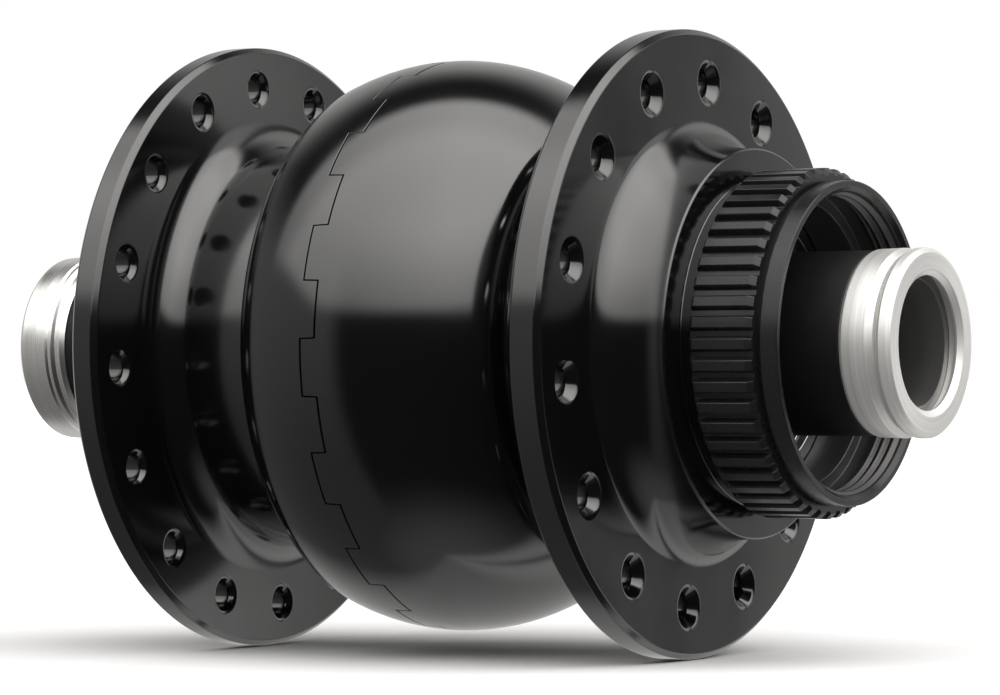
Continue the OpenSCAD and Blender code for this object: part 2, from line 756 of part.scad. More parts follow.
module connector_housing() {
    color("#161617") difference() {
        union() {
            about_axle() {
                chamfered_band(0, connector_d / 2, -connector_out, -connector_in, connector_edge);
                band(lip_r - lip_t, lip_r, -connector_in - 1, -connector_in + lip_l);
            }
            translate([-block_w / 2, -connector_out + block_inset, axle_r + 1])
                cube([block_w, connector_t - 2 * block_inset, block_top - axle_r - 1]);
        }
        about_axle() band(0, seat_r, -connector_out - 1, -connector_in + 1);
        translate([0, -connector_mid, 0]) for (side = [-1, 1]) terminal_blank(side, fit);
        for (x = [-lead_gap / 2, lead_gap / 2])
            translate([x, -connector_mid, 0]) cylinder(r = lead_hole_r, h = blade_foot, $fn = 32);
        translate([-slot_w / 2, -connector_mid - lead_hole_r, 0])
            cube([slot_w, bend_r + 2 * lead_hole_r, lead_deep_r + bend_r + lead_hole_r]);
    }
}

// One terminal: a blade that stands on a foot over the end of its lead, with room around it
module terminal_blank(side, room) {
    tip = blade_tip - room;
    mid = side * blade_pitch / 2;
    left = mid - blade_w / 2 - room;
    right = mid + blade_w / 2 + room;
    foot = side * (foot_gap / 2 - room);
    translate([0, blade_t / 2 + room, 0]) rotate([90, 0, 0]) linear_extrude(blade_t + 2 * room) {
        polygon([[left, blade_foot - room], [right, blade_foot - room], [right, blade_top - tip],
            [right - tip, blade_top + room], [left + tip, blade_top + room], [left, blade_top - tip]]);
        polygon([[foot, blade_foot - room], [mid, blade_foot - room],
            [mid, blade_foot + foot_h + room], [foot, blade_foot + foot_h + room]]);
    }
}

module terminals() {
    color("#cfc8a8") translate([0, -connector_mid, 0]) difference() {
        for (side = [-1, 1]) terminal_blank(side, 0);
        for (side = [-1, 1]) translate([side * blade_pitch / 2, -blade_t, blade_top - blade_hole_at])
            rotate([-90, 0, 0]) cylinder(r = blade_hole_r, h = 2 * blade_t, $fn = 32);
    }
}

disc_side_shell();
connector_side_shell();
seam_ring_seal();
flux_ring();
magnets_north();
magnets_south();
disc_side_outer_race();
connector_side_outer_race();
disc_side_bearing_seals();
connector_side_bearing_seals();
disc_side_circlip();
connector_side_circlip();
disc_side_balls();
disc_side_ball_cage();
connector_side_balls();
connector_side_ball_cage();
disc_side_inner_race();
connector_side_inner_race();
axle_tube();
disc_side_sleeve();
disc_side_end_cap();
connector_side_spacer();
connector_side_sleeve();
connector_side_end_cap();
stator_core();
disc_side_claw_plate();
connector_side_claw_plate();
coil_former();
coil_winding();
disc_side_inner_spacer();
connector_side_inner_spacer();
stator_leads();
connector_housing();
terminals();
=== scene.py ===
# %% [markdown]
# # A front hub that is also a generator
#
# The hub is turned aluminium under a mirror-like black finish. Such a surface shows little colour of
# its own: what one sees is the studio, bent round its curves. So the curves have to be exact, and the
# studio has to be shaped with as much care as the hub.
#
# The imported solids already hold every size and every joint. This script loads them as a frame and lays
# finer surfaces over the pieces that show. Almost all of them are turned on a lathe, so nearly every
# piece starts as a profile: radius against place along the axle.

# %% The frame
import json
import math

import bmesh
import bpy
import numpy as np
from mathutils import Matrix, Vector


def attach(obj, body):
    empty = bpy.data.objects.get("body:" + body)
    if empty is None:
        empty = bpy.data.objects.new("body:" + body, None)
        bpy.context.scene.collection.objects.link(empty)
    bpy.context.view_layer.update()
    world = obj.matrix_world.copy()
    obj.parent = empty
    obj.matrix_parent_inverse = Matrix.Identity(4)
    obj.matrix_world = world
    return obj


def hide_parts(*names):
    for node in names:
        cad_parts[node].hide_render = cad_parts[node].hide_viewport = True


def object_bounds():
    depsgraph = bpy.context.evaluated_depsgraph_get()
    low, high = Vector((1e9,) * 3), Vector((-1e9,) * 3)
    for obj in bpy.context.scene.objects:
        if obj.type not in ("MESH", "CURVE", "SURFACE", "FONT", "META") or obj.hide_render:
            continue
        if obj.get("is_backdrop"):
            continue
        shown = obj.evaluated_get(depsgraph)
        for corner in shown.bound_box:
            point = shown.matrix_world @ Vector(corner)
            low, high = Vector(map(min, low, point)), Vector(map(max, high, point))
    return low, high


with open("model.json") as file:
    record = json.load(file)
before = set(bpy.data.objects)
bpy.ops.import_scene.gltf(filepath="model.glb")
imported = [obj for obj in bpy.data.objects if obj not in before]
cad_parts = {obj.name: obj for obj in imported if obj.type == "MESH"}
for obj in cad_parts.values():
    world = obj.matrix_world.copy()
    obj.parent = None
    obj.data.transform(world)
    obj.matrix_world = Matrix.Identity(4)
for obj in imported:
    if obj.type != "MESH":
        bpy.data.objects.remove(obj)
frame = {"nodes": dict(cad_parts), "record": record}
cad_low, cad_high = (list(corner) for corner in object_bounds())
MM = 0.001
print("solid model, mm:", [round((b - a) / MM, 1) for a, b in zip(cad_low, cad_high)])

# %% [markdown]
# ## The camera
#
# The photograph is nearly free of perspective, so the camera stands far off with a long lens. It looks
# at the hub from the brake disc side, level with the axle. It was placed by matching the rims of both
# flanges, the end caps and the bore in the photograph.

# %% The camera
PHOTO_W = 1000
FOCAL_PX = 4799
SENSOR = 36
CAMERA_AT = (407.3, 249.7, 0.0)
YAW = math.radians(31.26)
PITCH = math.radians(0.04)
ROLL = math.radians(-0.32)
CENTRE_LIFT_PX = 1.2
NEAREST_M = 0.05
FARTHEST_M = 30


def camera_axes(yaw, pitch, roll):
    """Right, up and back of the camera. It starts level, looking along -X. Yaw turns it about the
    vertical, pitch tilts it about its own right, and roll turns it about its line of sight."""
    right = np.array([-math.sin(yaw), math.cos(yaw), 0.0])
    level_up = np.array([0.0, 0.0, 1.0])
    level_back = np.array([math.cos(yaw), math.sin(yaw), 0.0])
    back = level_back * math.cos(pitch) + level_up * math.sin(pitch)
    up = level_up * math.cos(pitch) - level_back * math.sin(pitch)
    turned_right = right * math.cos(roll) + up * math.sin(roll)
    turned_up = up * math.cos(roll) - right * math.sin(roll)
    return turned_right, turned_up, back


lens = bpy.data.cameras.new("camera")
lens.lens = FOCAL_PX * SENSOR / PHOTO_W
lens.sensor_width = SENSOR
lens.shift_y = CENTRE_LIFT_PX / PHOTO_W
lens.clip_start = NEAREST_M
lens.clip_end = FARTHEST_M
camera = bpy.data.objects.new("camera", lens)
placing = np.eye(4)
placing[:3, :3] = np.array(camera_axes(YAW, PITCH, ROLL)).T
placing[:3, 3] = np.array(CAMERA_AT) * MM
camera.matrix_world = Matrix(placing.tolist())
bpy.context.collection.objects.link(camera)
bpy.context.scene.camera = camera
print("lens, mm:", round(lens.lens, 1))

# %% [markdown]
# ## Profiles
#
# A turned piece is drawn as a lathe hand would: a run of straight cuts whose corners are broken by a
# small round. Each point of a profile is a row of four numbers: radius, place along the axle, and the
# two parts of the surface normal. Keeping the exact normal is worth it, because a mirror finish shows
# the slightest error in a normal long before one in a place.
#
# Every profile is walked with the metal on its left: towards +Y on the outside, towards -Y in a bore.
# Then the normal is always the direction of travel turned by a quarter turn.

# %% Profiles
FINE_TURN = math.radians(22.5)
BROAD_TURN = math.radians(5)


def straight(r1, t1, r2, t2, steps=1):
    """Points spread evenly from (r1, t1) to (r2, t2). The normal is (travel along Y, minus travel
    outwards)."""
    share = np.linspace(0, 1, steps + 1)[:, None]
    run = np.array([r2 - r1, t2 - t1], float)
    points = np.array([r1, t1]) + share * run
    normal = np.array([run[1], -run[0]]) / np.hypot(*run)
    return np.hstack([points, np.tile(normal, (steps + 1, 1))])


def arc(r0, t0, radius, start, end, hollow=False):
    """Points of a circle about (r0, t0), at the angles from start to end in degrees: 0 is outwards and
    90 is towards +Y. The normal points away from the centre, or towards it in a hollow."""
    steps = max(4, math.ceil(abs(math.radians(end - start)) / BROAD_TURN))
    angle = np.radians(np.linspace(start, end, steps + 1))
    away = np.column_stack([np.cos(angle), np.sin(angle)])
    return np.hstack([np.array([r0, t0]) + radius * away, -away if hollow else away])


def rounded(*corners):
    """A profile through corners (r, t, round). Each inner corner gives way to an arc of that radius. It
    leaves the first run at round * tan(turn / 2) before the corner, and turns at a steady rate."""
    place = np.array([c[:2] for c in corners], float)
    run = np.diff(place, axis=0)
    run /= np.hypot(run[:, 0], run[:, 1])[:, None]
    out = [np.append(place[0], [run[0, 1], -run[0, 0]])]
    for i in range(1, len(corners) - 1):
        before, after = run[i - 1], run[i]
        radius = corners[i][2]
        turn = math.atan2(before[0] * after[1] - before[1] * after[0], float(before @ after))
        side = math.copysign(1, turn)
        across = side * np.array([-before[1], before[0]])
        centre = place[i] - before * radius * math.tan(abs(turn) / 2) + across * radius
        step = FINE_TURN if radius < 1 else BROAD_TURN
        angle = np.linspace(0, turn, max(2, math.ceil(abs(turn) / step)) + 1)[:, None]

        def turned_by(v):
            """v turned by each angle: (x cos a - y sin a, x sin a + y cos a)."""
            return np.hstack([v[0] * np.cos(angle) - v[1] * np.sin(angle),
                              v[0] * np.sin(angle) + v[1] * np.cos(angle)])

        normal = turned_by(np.array([before[1], -before[0]]))
        out.append(np.hstack([centre + turned_by(-across * radius), normal]))
    out.append(np.append(place[-1], [run[-1, 1], -run[-1, 0]]))
    return np.vstack(out)


print("points in a corner's round:", len(rounded((2, 0), (2, 2, 0.3), (0, 2))) - 2)

# %% [markdown]
# ## From profiles to meshes
#
# A surface is a grid of points with a normal at each. Several grids are welded where their edges meet.
# The welding works on whole arrays: every point is rounded to a fine lattice, and points that share a
# lattice place become one. Each face keeps the normals of its own grid, so a crisp edge between two
# grids stays crisp although the mesh is closed.

# %% Sheets and welding
LATTICE = 0.0002
LATTICE_SHIFT = 0.0000337


def turned(profile, angles, closed=True):
    """A profile turned about the axle: (r cos a, t, r sin a) for each angle a, and the normal likewise."""
    r, t, nr, nt = (profile[:, i][:, None] for i in range(4))
    c, s = np.cos(angles)[None, :], np.sin(angles)[None, :]
    points = np.stack([r * c, t + 0 * c, r * s], axis=-1)
    normals = np.stack([nr * c, nt + 0 * c, nr * s], axis=-1)
    return sheet(points, normals, around=closed)


def sheet(points, normals=None, around=False, up=False, finish=0):
    """One grid of points [row, column]. around joins the last column to the first, up the last row to
    the first. Without normals every face is flat."""
    rows, columns = points.shape[:2]
    row = np.arange(rows if up else rows - 1)[:, None]
    column = np.arange(columns if around else columns - 1)[None, :]
    here, there = row * columns, (row + 1) % rows * columns
    right = (column + 1) % columns
    faces = np.stack([here + column, there + column, there + right, here + right], axis=-1)
    return {"points": points.reshape(-1, 3), "faces": faces.reshape(-1, 4), "finish": finish,
            "normals": None if normals is None else normals.reshape(-1, 3)}


def finished(part, finish):
    """The same sheet, with another of its piece's materials."""
    return dict(part, finish=finish)


def face_normals(points, faces):
    """Across a face: the cross product of its two diagonals."""
    across = np.cross(points[faces[:, 2]] - points[faces[:, 0]], points[faces[:, 3]] - points[faces[:, 1]])
    return across / np.maximum(np.linalg.norm(across, axis=1), 1e-12)[:, None]


def piece(name, body, node, sheets, materials):
    """Welds sheets into one mesh, in metres, and sets it on its body in place of a node."""
    starts = np.cumsum([0] + [len(s["points"]) for s in sheets])[:-1]
    points = np.vstack([s["points"] for s in sheets])
    faces = np.vstack([s["faces"] + start for s, start in zip(sheets, starts)])
    finish = np.concatenate([np.full(len(s["faces"]), s["finish"]) for s in sheets])
    exact = np.vstack([np.zeros_like(s["points"]) if s["normals"] is None else s["normals"]
                       for s in sheets])
    flat = face_normals(points, faces)
    corner_normals = exact[faces]
    plain = np.linalg.norm(corner_normals, axis=2) < 0.5
    corner_normals = np.where(plain[..., None], flat[:, None, :], corner_normals)

    lattice = np.round((points + LATTICE_SHIFT) / LATTICE).astype(np.int64)
    first, owner = np.unique(lattice, axis=0, return_index=True, return_inverse=True)[1:]
    corners = owner.reshape(-1)[faces]
    welded = points[first]
    distinct = corners != np.roll(corners, 1, axis=1)
    unfolded = (corners[:, 0] != corners[:, 2]) & (corners[:, 1] != corners[:, 3])
    whole = (distinct.sum(axis=1) >= 3) & unfolded
    corners, corner_normals = corners[whole], corner_normals[whole]
    distinct, finish = distinct[whole], finish[whole]
    sizes = distinct.sum(axis=1)
    loops = corners[distinct]
    loop_normals = corner_normals[distinct]

    mesh = bpy.data.meshes.new(name)
    mesh.vertices.add(len(welded))
    mesh.vertices.foreach_set("co", (welded * MM).ravel())
    mesh.loops.add(len(loops))
    mesh.loops.foreach_set("vertex_index", loops)
    mesh.polygons.add(len(sizes))
    mesh.polygons.foreach_set("loop_start", np.concatenate([[0], np.cumsum(sizes)[:-1]]))
    mesh.polygons.foreach_set("loop_total", sizes)
    mesh.polygons.foreach_set("material_index", finish)
    mesh.polygons.foreach_set("use_smooth", np.ones(len(sizes), bool))
    for material in materials:
        mesh.materials.append(material)
    mesh.update(calc_edges=True)
    mesh.validate()
    mesh.normals_split_custom_set(loop_normals)
    return carried(bpy.data.objects.new(name, mesh), body, node)


def carried(thing, body, node):
    """Links a piece, lets it ride on a body in place of a node, and prints whether it is closed."""
    bpy.context.collection.objects.link(thing)
    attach(thing, body)
    if node:
        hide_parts(node)
    mesh = thing.data
    uses = np.zeros(len(mesh.edges), int)
    edge_of = np.zeros(len(mesh.loops), int)
    mesh.loops.foreach_get("edge_index", edge_of)
    np.add.at(uses, edge_of, 1)
    co = np.zeros(len(mesh.vertices) * 3)
    mesh.vertices.foreach_get("co", co)
    co = co.reshape(-1, 3) / MM
    mesh.calc_loop_triangles()
    tri = np.zeros(len(mesh.loop_triangles) * 3, int)
    mesh.loop_triangles.foreach_get("vertices", tri)
    a, b, c = (co[tri.reshape(-1, 3)[:, i]] for i in range(3))
    volume = np.einsum("ij,ij->i", a, np.cross(b, c)).sum() / 6
    print(f"{thing.name}: {len(mesh.loop_triangles)} triangles, {int((uses != 2).sum())} open edges,"
          f" {volume:.0f} mm3")
    return thing


# %% [markdown]
# ## Finishes
#
# The hub's black is a dye in a thin clear oxide layer over polished aluminium. It has almost no
# diffuse colour, and reflects like lacquer. Machining leaves a faint circular grain that one sees only
# where a reflection stretches, and handling leaves slight unevenness in the gloss. Both are painted
# with noise on Object coordinates, so they stay at real size and turn with the hub. No gloss or colour
# here was measured on a real hub. Each was set against the photograph.

# %% Material helpers
def new_material(name, colour, roughness, metallic=0.0, ior=1.5):
    """A material with one Principled shader. Numbers that are the same all over sit on its sockets."""
    material = bpy.data.materials.new(name)
    material.use_nodes = True
    nodes, links = material.node_tree.nodes, material.node_tree.links
    shader = nodes["Principled BSDF"]
    shader.inputs["Base Color"].default_value = (*colour, 1)
    shader.inputs["Roughness"].default_value = roughness
    shader.inputs["Metallic"].default_value = metallic
    shader.inputs["IOR"].default_value = ior
    return material, nodes, links, shader


def add(nodes, kind, **inputs):
    """A new node whose named inputs are set."""
    node = nodes.new(kind)
    for key, value in inputs.items():
        node.inputs[key.replace("_", " ")].default_value = value
    return node


def object_point(nodes, links, scale=(1, 1, 1)):
    """Object coordinates, stretched by a scale for each axis."""
    place = nodes.new("ShaderNodeTexCoord")
    mapping = add(nodes, "ShaderNodeMapping", Scale=scale)
    links.new(place.outputs["Object"], mapping.inputs["Vector"])
    return mapping.outputs["Vector"]


def around_axle(nodes, links, along, outwards):
    """A point whose first part is the place along the axle and whose second is the distance from it,
    each times a scale. Noise on it makes the rings that a cutting tool leaves."""
    place = nodes.new("ShaderNodeTexCoord")
    split = nodes.new("ShaderNodeSeparateXYZ")
    links.new(place.outputs["Object"], split.inputs[0])
    flat = nodes.new("ShaderNodeCombineXYZ")
    links.new(split.outputs["X"], flat.inputs["X"])
    links.new(split.outputs["Z"], flat.inputs["Y"])
    length = nodes.new("ShaderNodeVectorMath")
    length.operation = "LENGTH"
    links.new(flat.outputs[0], length.inputs[0])
    joined = nodes.new("ShaderNodeCombineXYZ")
    parts = ((split.outputs["Y"], "X", along), (length.outputs["Value"], "Y", outwards))
    for source, socket, scale in parts:
        scaled = nodes.new("ShaderNodeMath")
        scaled.operation = "MULTIPLY"
        scaled.inputs[1].default_value = scale
        links.new(source, scaled.inputs[0])
        links.new(scaled.outputs[0], joined.inputs[socket])
    return joined.outputs[0]


def noise(nodes, links, vector, scale, detail=3.0, roughness=0.5):
    """Fractal noise at a vector, about 0.5 on average. The scale counts its features in a metre."""
    texture = add(nodes, "ShaderNodeTexNoise", Scale=scale, Detail=detail, Roughness=roughness)
    links.new(vector, texture.inputs["Vector"])
    return texture.outputs["Fac"]


def to_range(nodes, links, value, low, high, into_low=0.3, into_high=0.7):
    """A value between into_low and into_high, mapped to run from low to high."""
    ramp = nodes.new("ShaderNodeMapRange")
    numbers = (into_low, into_high, low, high)
    for socket, number in zip(("From Min", "From Max", "To Min", "To Max"), numbers):
        ramp.inputs[socket].default_value = number
    links.new(value, ramp.inputs["Value"])
    return ramp.outputs["Result"]


def bump(nodes, links, shader, height, strength, distance):
    """Tilts the shader's normal by a height, in metres times the strength."""
    node = add(nodes, "ShaderNodeBump", Strength=strength, Distance=distance)
    links.new(height, node.inputs["Height"])
    links.new(node.outputs["Normal"], shader.inputs["Normal"])


def mix_colours(nodes, links, share, first, second):
    """first where the share is 0, second where it is 1."""
    mix = nodes.new("ShaderNodeMix")
    mix.data_type = "RGBA"
    mix.inputs["A"].default_value = (*first, 1)
    mix.inputs["B"].default_value = (*second, 1)
    links.new(share, mix.inputs["Factor"])
    return mix.outputs["Result"]


# %% [markdown]
# One function makes each kind of finish: polished black, cut black, bare metal from the lathe, and a
# plain grain for the rest. A painted picture could do it too, but it would need an unwrapped surface and
# would blur close by. Noise is sharp at any distance, and rings about the axle need no seam.

# %% The finishes of this hub
RING_BUMP = 0.00002
CUT_BUMP = 0.00003
GRAIN_BUMP = 0.00004
WIRE_BUMP = 0.0002


def gloss_black():
    """Polished black anodising: a dark body, a lacquer-like gloss, faint haze and turning rings."""
    material, nodes, links, shader = new_material("polished_black", (0.002, 0.002, 0.0021), 0.13, ior=1.75)
    haze = noise(nodes, links, object_point(nodes, links), 90.0, 4.0)
    links.new(to_range(nodes, links, haze, 0.105, 0.155), shader.inputs["Roughness"])
    tint = noise(nodes, links, object_point(nodes, links), 35.0, 2.0)
    links.new(mix_colours(nodes, links, tint, (0.0016, 0.0016, 0.0017), (0.0026, 0.0025, 0.0025)),
              shader.inputs["Base Color"])
    rings = noise(nodes, links, around_axle(nodes, links, 9000, 9000), 1.0, 2.0)
    bump(nodes, links, shader, rings, 0.03, RING_BUMP)
    return material


def satin_black(name, body, roughness, ring_strength, ior):
    """Cut black anodising: more diffuse, with plain tool rings."""
    material, nodes, links, shader = new_material(name, body, roughness, ior=ior)
    haze = noise(nodes, links, object_point(nodes, links), 400.0, 4.0)
    links.new(to_range(nodes, links, haze, roughness - 0.05, roughness + 0.05), shader.inputs["Roughness"])
    tint = noise(nodes, links, object_point(nodes, links), 60.0, 3.0)
    darker = tuple(0.8 * part for part in body)
    lighter = tuple(1.25 * part for part in body)
    links.new(mix_colours(nodes, links, tint, darker, lighter), shader.inputs["Base Color"])
    rings = noise(nodes, links, around_axle(nodes, links, 7000, 7000), 1.0, 2.0)
    bump(nodes, links, shader, rings, ring_strength, CUT_BUMP)
    return material


def turned_metal(name, colour, roughness, ring_scale, ring_strength, stretch=0.6, stain=0.2, metallic=1.0):
    """Bare metal from the lathe: fine rings stretch every reflection across them, and handling leaves
    darker stains."""
    material, nodes, links, shader = new_material(name, colour, roughness, metallic=metallic)
    rings = noise(nodes, links, around_axle(nodes, links, ring_scale, ring_scale), 1.0, 6.0, 0.7)
    links.new(to_range(nodes, links, rings, roughness - 0.07, roughness + 0.09), shader.inputs["Roughness"])
    patches = noise(nodes, links, around_axle(nodes, links, 900, 900), 1.0, 6.0, 0.75)
    stained = tuple((1 - stain) * part for part in colour)
    links.new(mix_colours(nodes, links, to_range(nodes, links, patches, 0, 1), stained, colour),
              shader.inputs["Base Color"])
    shader.inputs["Anisotropic"].default_value = stretch
    tangent = nodes.new("ShaderNodeTangent")
    tangent.direction_type = "RADIAL"
    tangent.axis = "Y"
    links.new(tangent.outputs[0], shader.inputs["Tangent"])
    bump(nodes, links, shader, rings, ring_strength, RING_BUMP)
    return material


def grained(name, colour, roughness, scale, strength, metallic=0.0, spread=0.15):
    """Plastic, rubber, plating or iron: a fine grain in gloss and height, and a slightly uneven colour."""
    material, nodes, links, shader = new_material(name, colour, roughness, metallic)
    grain = noise(nodes, links, object_point(nodes, links), scale, 5.0, 0.6)
    links.new(to_range(nodes, links, grain, roughness - 0.08, roughness + 0.08), shader.inputs["Roughness"])
    tint = noise(nodes, links, object_point(nodes, links), scale / 9, 3.0)
    darker = tuple(part * (1 - spread) for part in colour)
    lighter = tuple(min(1, part * (1 + spread)) for part in colour)
    links.new(mix_colours(nodes, links, tint, darker, lighter), shader.inputs["Base Color"])
    bump(nodes, links, shader, grain, strength, GRAIN_BUMP)
    return material


def wound_copper():
    """Enamelled wire seen from outside: close rings of wire, each 0.5 mm wide, under a clear varnish."""
    material, nodes, links, shader = new_material("wound_copper", (0.72, 0.27, 0.11), 0.3, metallic=1.0)
    wave = add(nodes, "ShaderNodeTexWave", Scale=3.18, Distortion=0.4, Detail=1.0)
    wave.wave_profile = "SIN"
    wave.bands_direction = "X"
    links.new(around_axle(nodes, links, 100, 100), wave.inputs["Vector"])
    # Painted shade: the colour follows the same wave as the bump and goes dark in the grooves between the
    # turns of wire.
    links.new(mix_colours(nodes, links, wave.outputs["Fac"], (0.28, 0.08, 0.03), (0.80, 0.32, 0.13)),
              shader.inputs["Base Color"])
    bump(nodes, links, shader, wave.outputs["Fac"], 0.8, WIRE_BUMP)
    return material


MATERIALS = {
    "shell_black": gloss_black(),
    "cut_black": satin_black("cut_black", (0.006, 0.006, 0.0063), 0.26, 0.10, 1.42),
    "bore_black": satin_black("bore_black", (0.034, 0.032, 0.032), 0.36, 0.35, 1.6),
    "sleeve_black": satin_black("matte_black", (0.005, 0.005, 0.0052), 0.50, 0.15, 1.32),
    "cap_silver": turned_metal("turned_silver", (0.87, 0.86, 0.84), 0.38, 6000, 0.45, stretch=0.45,
                               stain=0.42, metallic=0.78),
    "ridged_silver": turned_metal("ridged_silver", (0.86, 0.85, 0.83), 0.27, 6000, 0.25, stretch=0.3),
    "axle_grey": turned_metal("turned_grey", (0.50, 0.50, 0.49), 0.50, 4000, 0.40),
    "bearing_steel": turned_metal("ground_steel", (0.58, 0.58, 0.59), 0.20, 5000, 0.10),
    "ball_steel": grained("polished_steel", (0.72, 0.72, 0.73), 0.12, 500, 0.02, 1.0, 0.04),
    "soft_iron": grained("plated_iron", (0.42, 0.42, 0.41), 0.38, 700, 0.12, 1.0),
    "magnet": grained("plated_magnet", (0.30, 0.30, 0.31), 0.34, 900, 0.10, 1.0),
    "copper_wire": wound_copper(),
    "cage_brass": grained("pressed_brass", (0.62, 0.42, 0.16), 0.32, 800, 0.08, 1.0),
    "black_plastic": grained("moulded_plastic", (0.013, 0.013, 0.014), 0.45, 1500, 0.25),
    "seal_rubber": grained("seal_rubber", (0.014, 0.014, 0.014), 0.60, 1200, 0.20),
    "lead_sleeving": grained("lead_sleeving", (0.30, 0.035, 0.020), 0.42, 1200, 0.10),
    "terminal_tin": grained("tinned_brass", (0.74, 0.70, 0.58), 0.28, 900, 0.10, 1.0),
}
print("finishes:", len(MATERIALS))

# %% [markdown]
# ## The two halves of the shell
#
# Each half is one turned piece: half of the round middle, a slim neck, a flange for the spokes and a
# boss. The sizes below repeat those of the solids, in millimetres. Where a shape is finer than its solid
# or departs from it, the text says so.
#
# The columns of every grid are laid so that a whole number of them falls between two spoke holes, and
# likewise between two steps of the seam. 224 columns do both for 14 and for 16 holes.

# %% Sizes of the shell
COLUMNS = 224
DISC_HOLES = 14
WIRE_HOLES = 16
DISC_FIRST_HOLE = 18.04
WIRE_FIRST_HOLE = 18.3
BULB_R = 28.35
CROWN_R = 22.0
CROWN_CENTRE_R = BULB_R - CROWN_R
BULB_MID = -1.2
WIRE_CROWN = 8.0
WIRE_SHOULDER_R = 5.7
DISC_CROWN = 15.0
DISC_SHOULDER_R = 3.0
NECK_R = 19.5
NECK_FILLET = 3.5
CAVITY_R = 25.32
CAVITY_HALF = 9.627
CAVITY_CORNER = 2.0


def even_columns(first_hole, holes):
    """Angles of the columns, so that a border between two holes is always a column."""
    return np.radians(first_hole - 180 / holes + np.arange(COLUMNS) * 360 / COLUMNS)


def bulb_flank(side, crown_half, shoulder, fillet):
    """From the crown's edge over the shoulder into the neck's fillet. The shoulder's circle touches the
    crown's from inside, the difference of the radii away. The fillet's circle touches the shoulder's
    from outside, so their centres lie one sum of radii apart."""
    tilt = math.asin(crown_half / CROWN_R)
    shoulder_r = CROWN_CENTRE_R + (CROWN_R - shoulder) * math.cos(tilt)
    shoulder_t = BULB_MID + side * (CROWN_R - shoulder) * math.sin(tilt)
    fillet_r = NECK_R + fillet
    gap_r = fillet_r - shoulder_r
    gap_t = math.sqrt((shoulder + fillet) ** 2 - gap_r ** 2)
    touch = math.degrees(math.atan2(gap_t, gap_r))
    over = arc(shoulder_r, shoulder_t, shoulder, side * math.degrees(tilt), side * touch)
    under = arc(fillet_r, shoulder_t + side * gap_t, fillet, side * (touch + 180), side * 180, hollow=True)
    return np.vstack([over, under])


def crown(t):
    """Radius and normal of the crown at a place t: a circle about a centre below the axle."""
    up = np.sqrt(CROWN_R ** 2 - (t - BULB_MID) ** 2)
    return np.stack([CROWN_CENTRE_R + up, t, up / CROWN_R, (t - BULB_MID) / CROWN_R], axis=-1)


disc_columns = even_columns(DISC_FIRST_HOLE, DISC_HOLES)
wire_columns = even_columns(WIRE_FIRST_HOLE, WIRE_HOLES)
print("columns between two holes:", COLUMNS // DISC_HOLES, "and", COLUMNS // WIRE_HOLES)

# %% [markdown]
# ## The castellated seam
#
# Where the halves meet, sixteen fingers of one half stand in sixteen notches of the other, with a
# hair's breadth of gap. It could be cut with a boolean, but a boolean leaves ragged faces on a mirror
# finish. Instead the last rows of each grid bend to the step: the columns gather at the borders of the
# fingers, and the last row jumps from one level to the other between two close columns.

# %% The seam
SEAM_STEPS = 32
SEAM_FINGER_MID = 7.2
SEAM_FIRST = SEAM_FINGER_MID - 180 / SEAM_STEPS
SEAM_HIGH = -0.925
SEAM_LOW = -2.575
SEAM_GAP = 0.14
SEAM_BREAK = 0.07
STEP_SLOPE = 0.06
SEAM_R = 28.0
HALF_TURNED = 0.707
DISC_JOIN_T = 0.2
WIRE_JOIN_T = -3.8


def seam_columns(columns, narrower):
    """Angles of the seam's columns, and whether each lies in a finger. A step's seven columns spread
    evenly between its borders, which move by the gap, so that fingers are narrower or wider."""
    step = 2 * math.pi / SEAM_STEPS
    which = np.arange(SEAM_STEPS)
    finger = which % 2 == 0
    shrink = np.where(finger, 1, -1) * narrower / SEAM_R
    low = math.radians(SEAM_FIRST) + which * step + shrink + math.radians(STEP_SLOPE)
    high = math.radians(SEAM_FIRST) + (which + 1) * step - shrink - math.radians(STEP_SLOPE)
    share = np.linspace(0, 1, COLUMNS // SEAM_STEPS)
    angles = (low[:, None] + (high - low)[:, None] * share).ravel()
    in_finger = np.repeat(finger, COLUMNS // SEAM_STEPS)
    shift = int(round((angles[0] - columns[0]) / (2 * math.pi / COLUMNS)))
    return np.roll(angles, shift), np.roll(in_finger, shift)


def nearest_turn(angles, columns):
    """The same angles, each moved by whole turns to lie nearest to its column."""
    return angles - np.round((angles - columns) / (2 * math.pi)) * 2 * math.pi


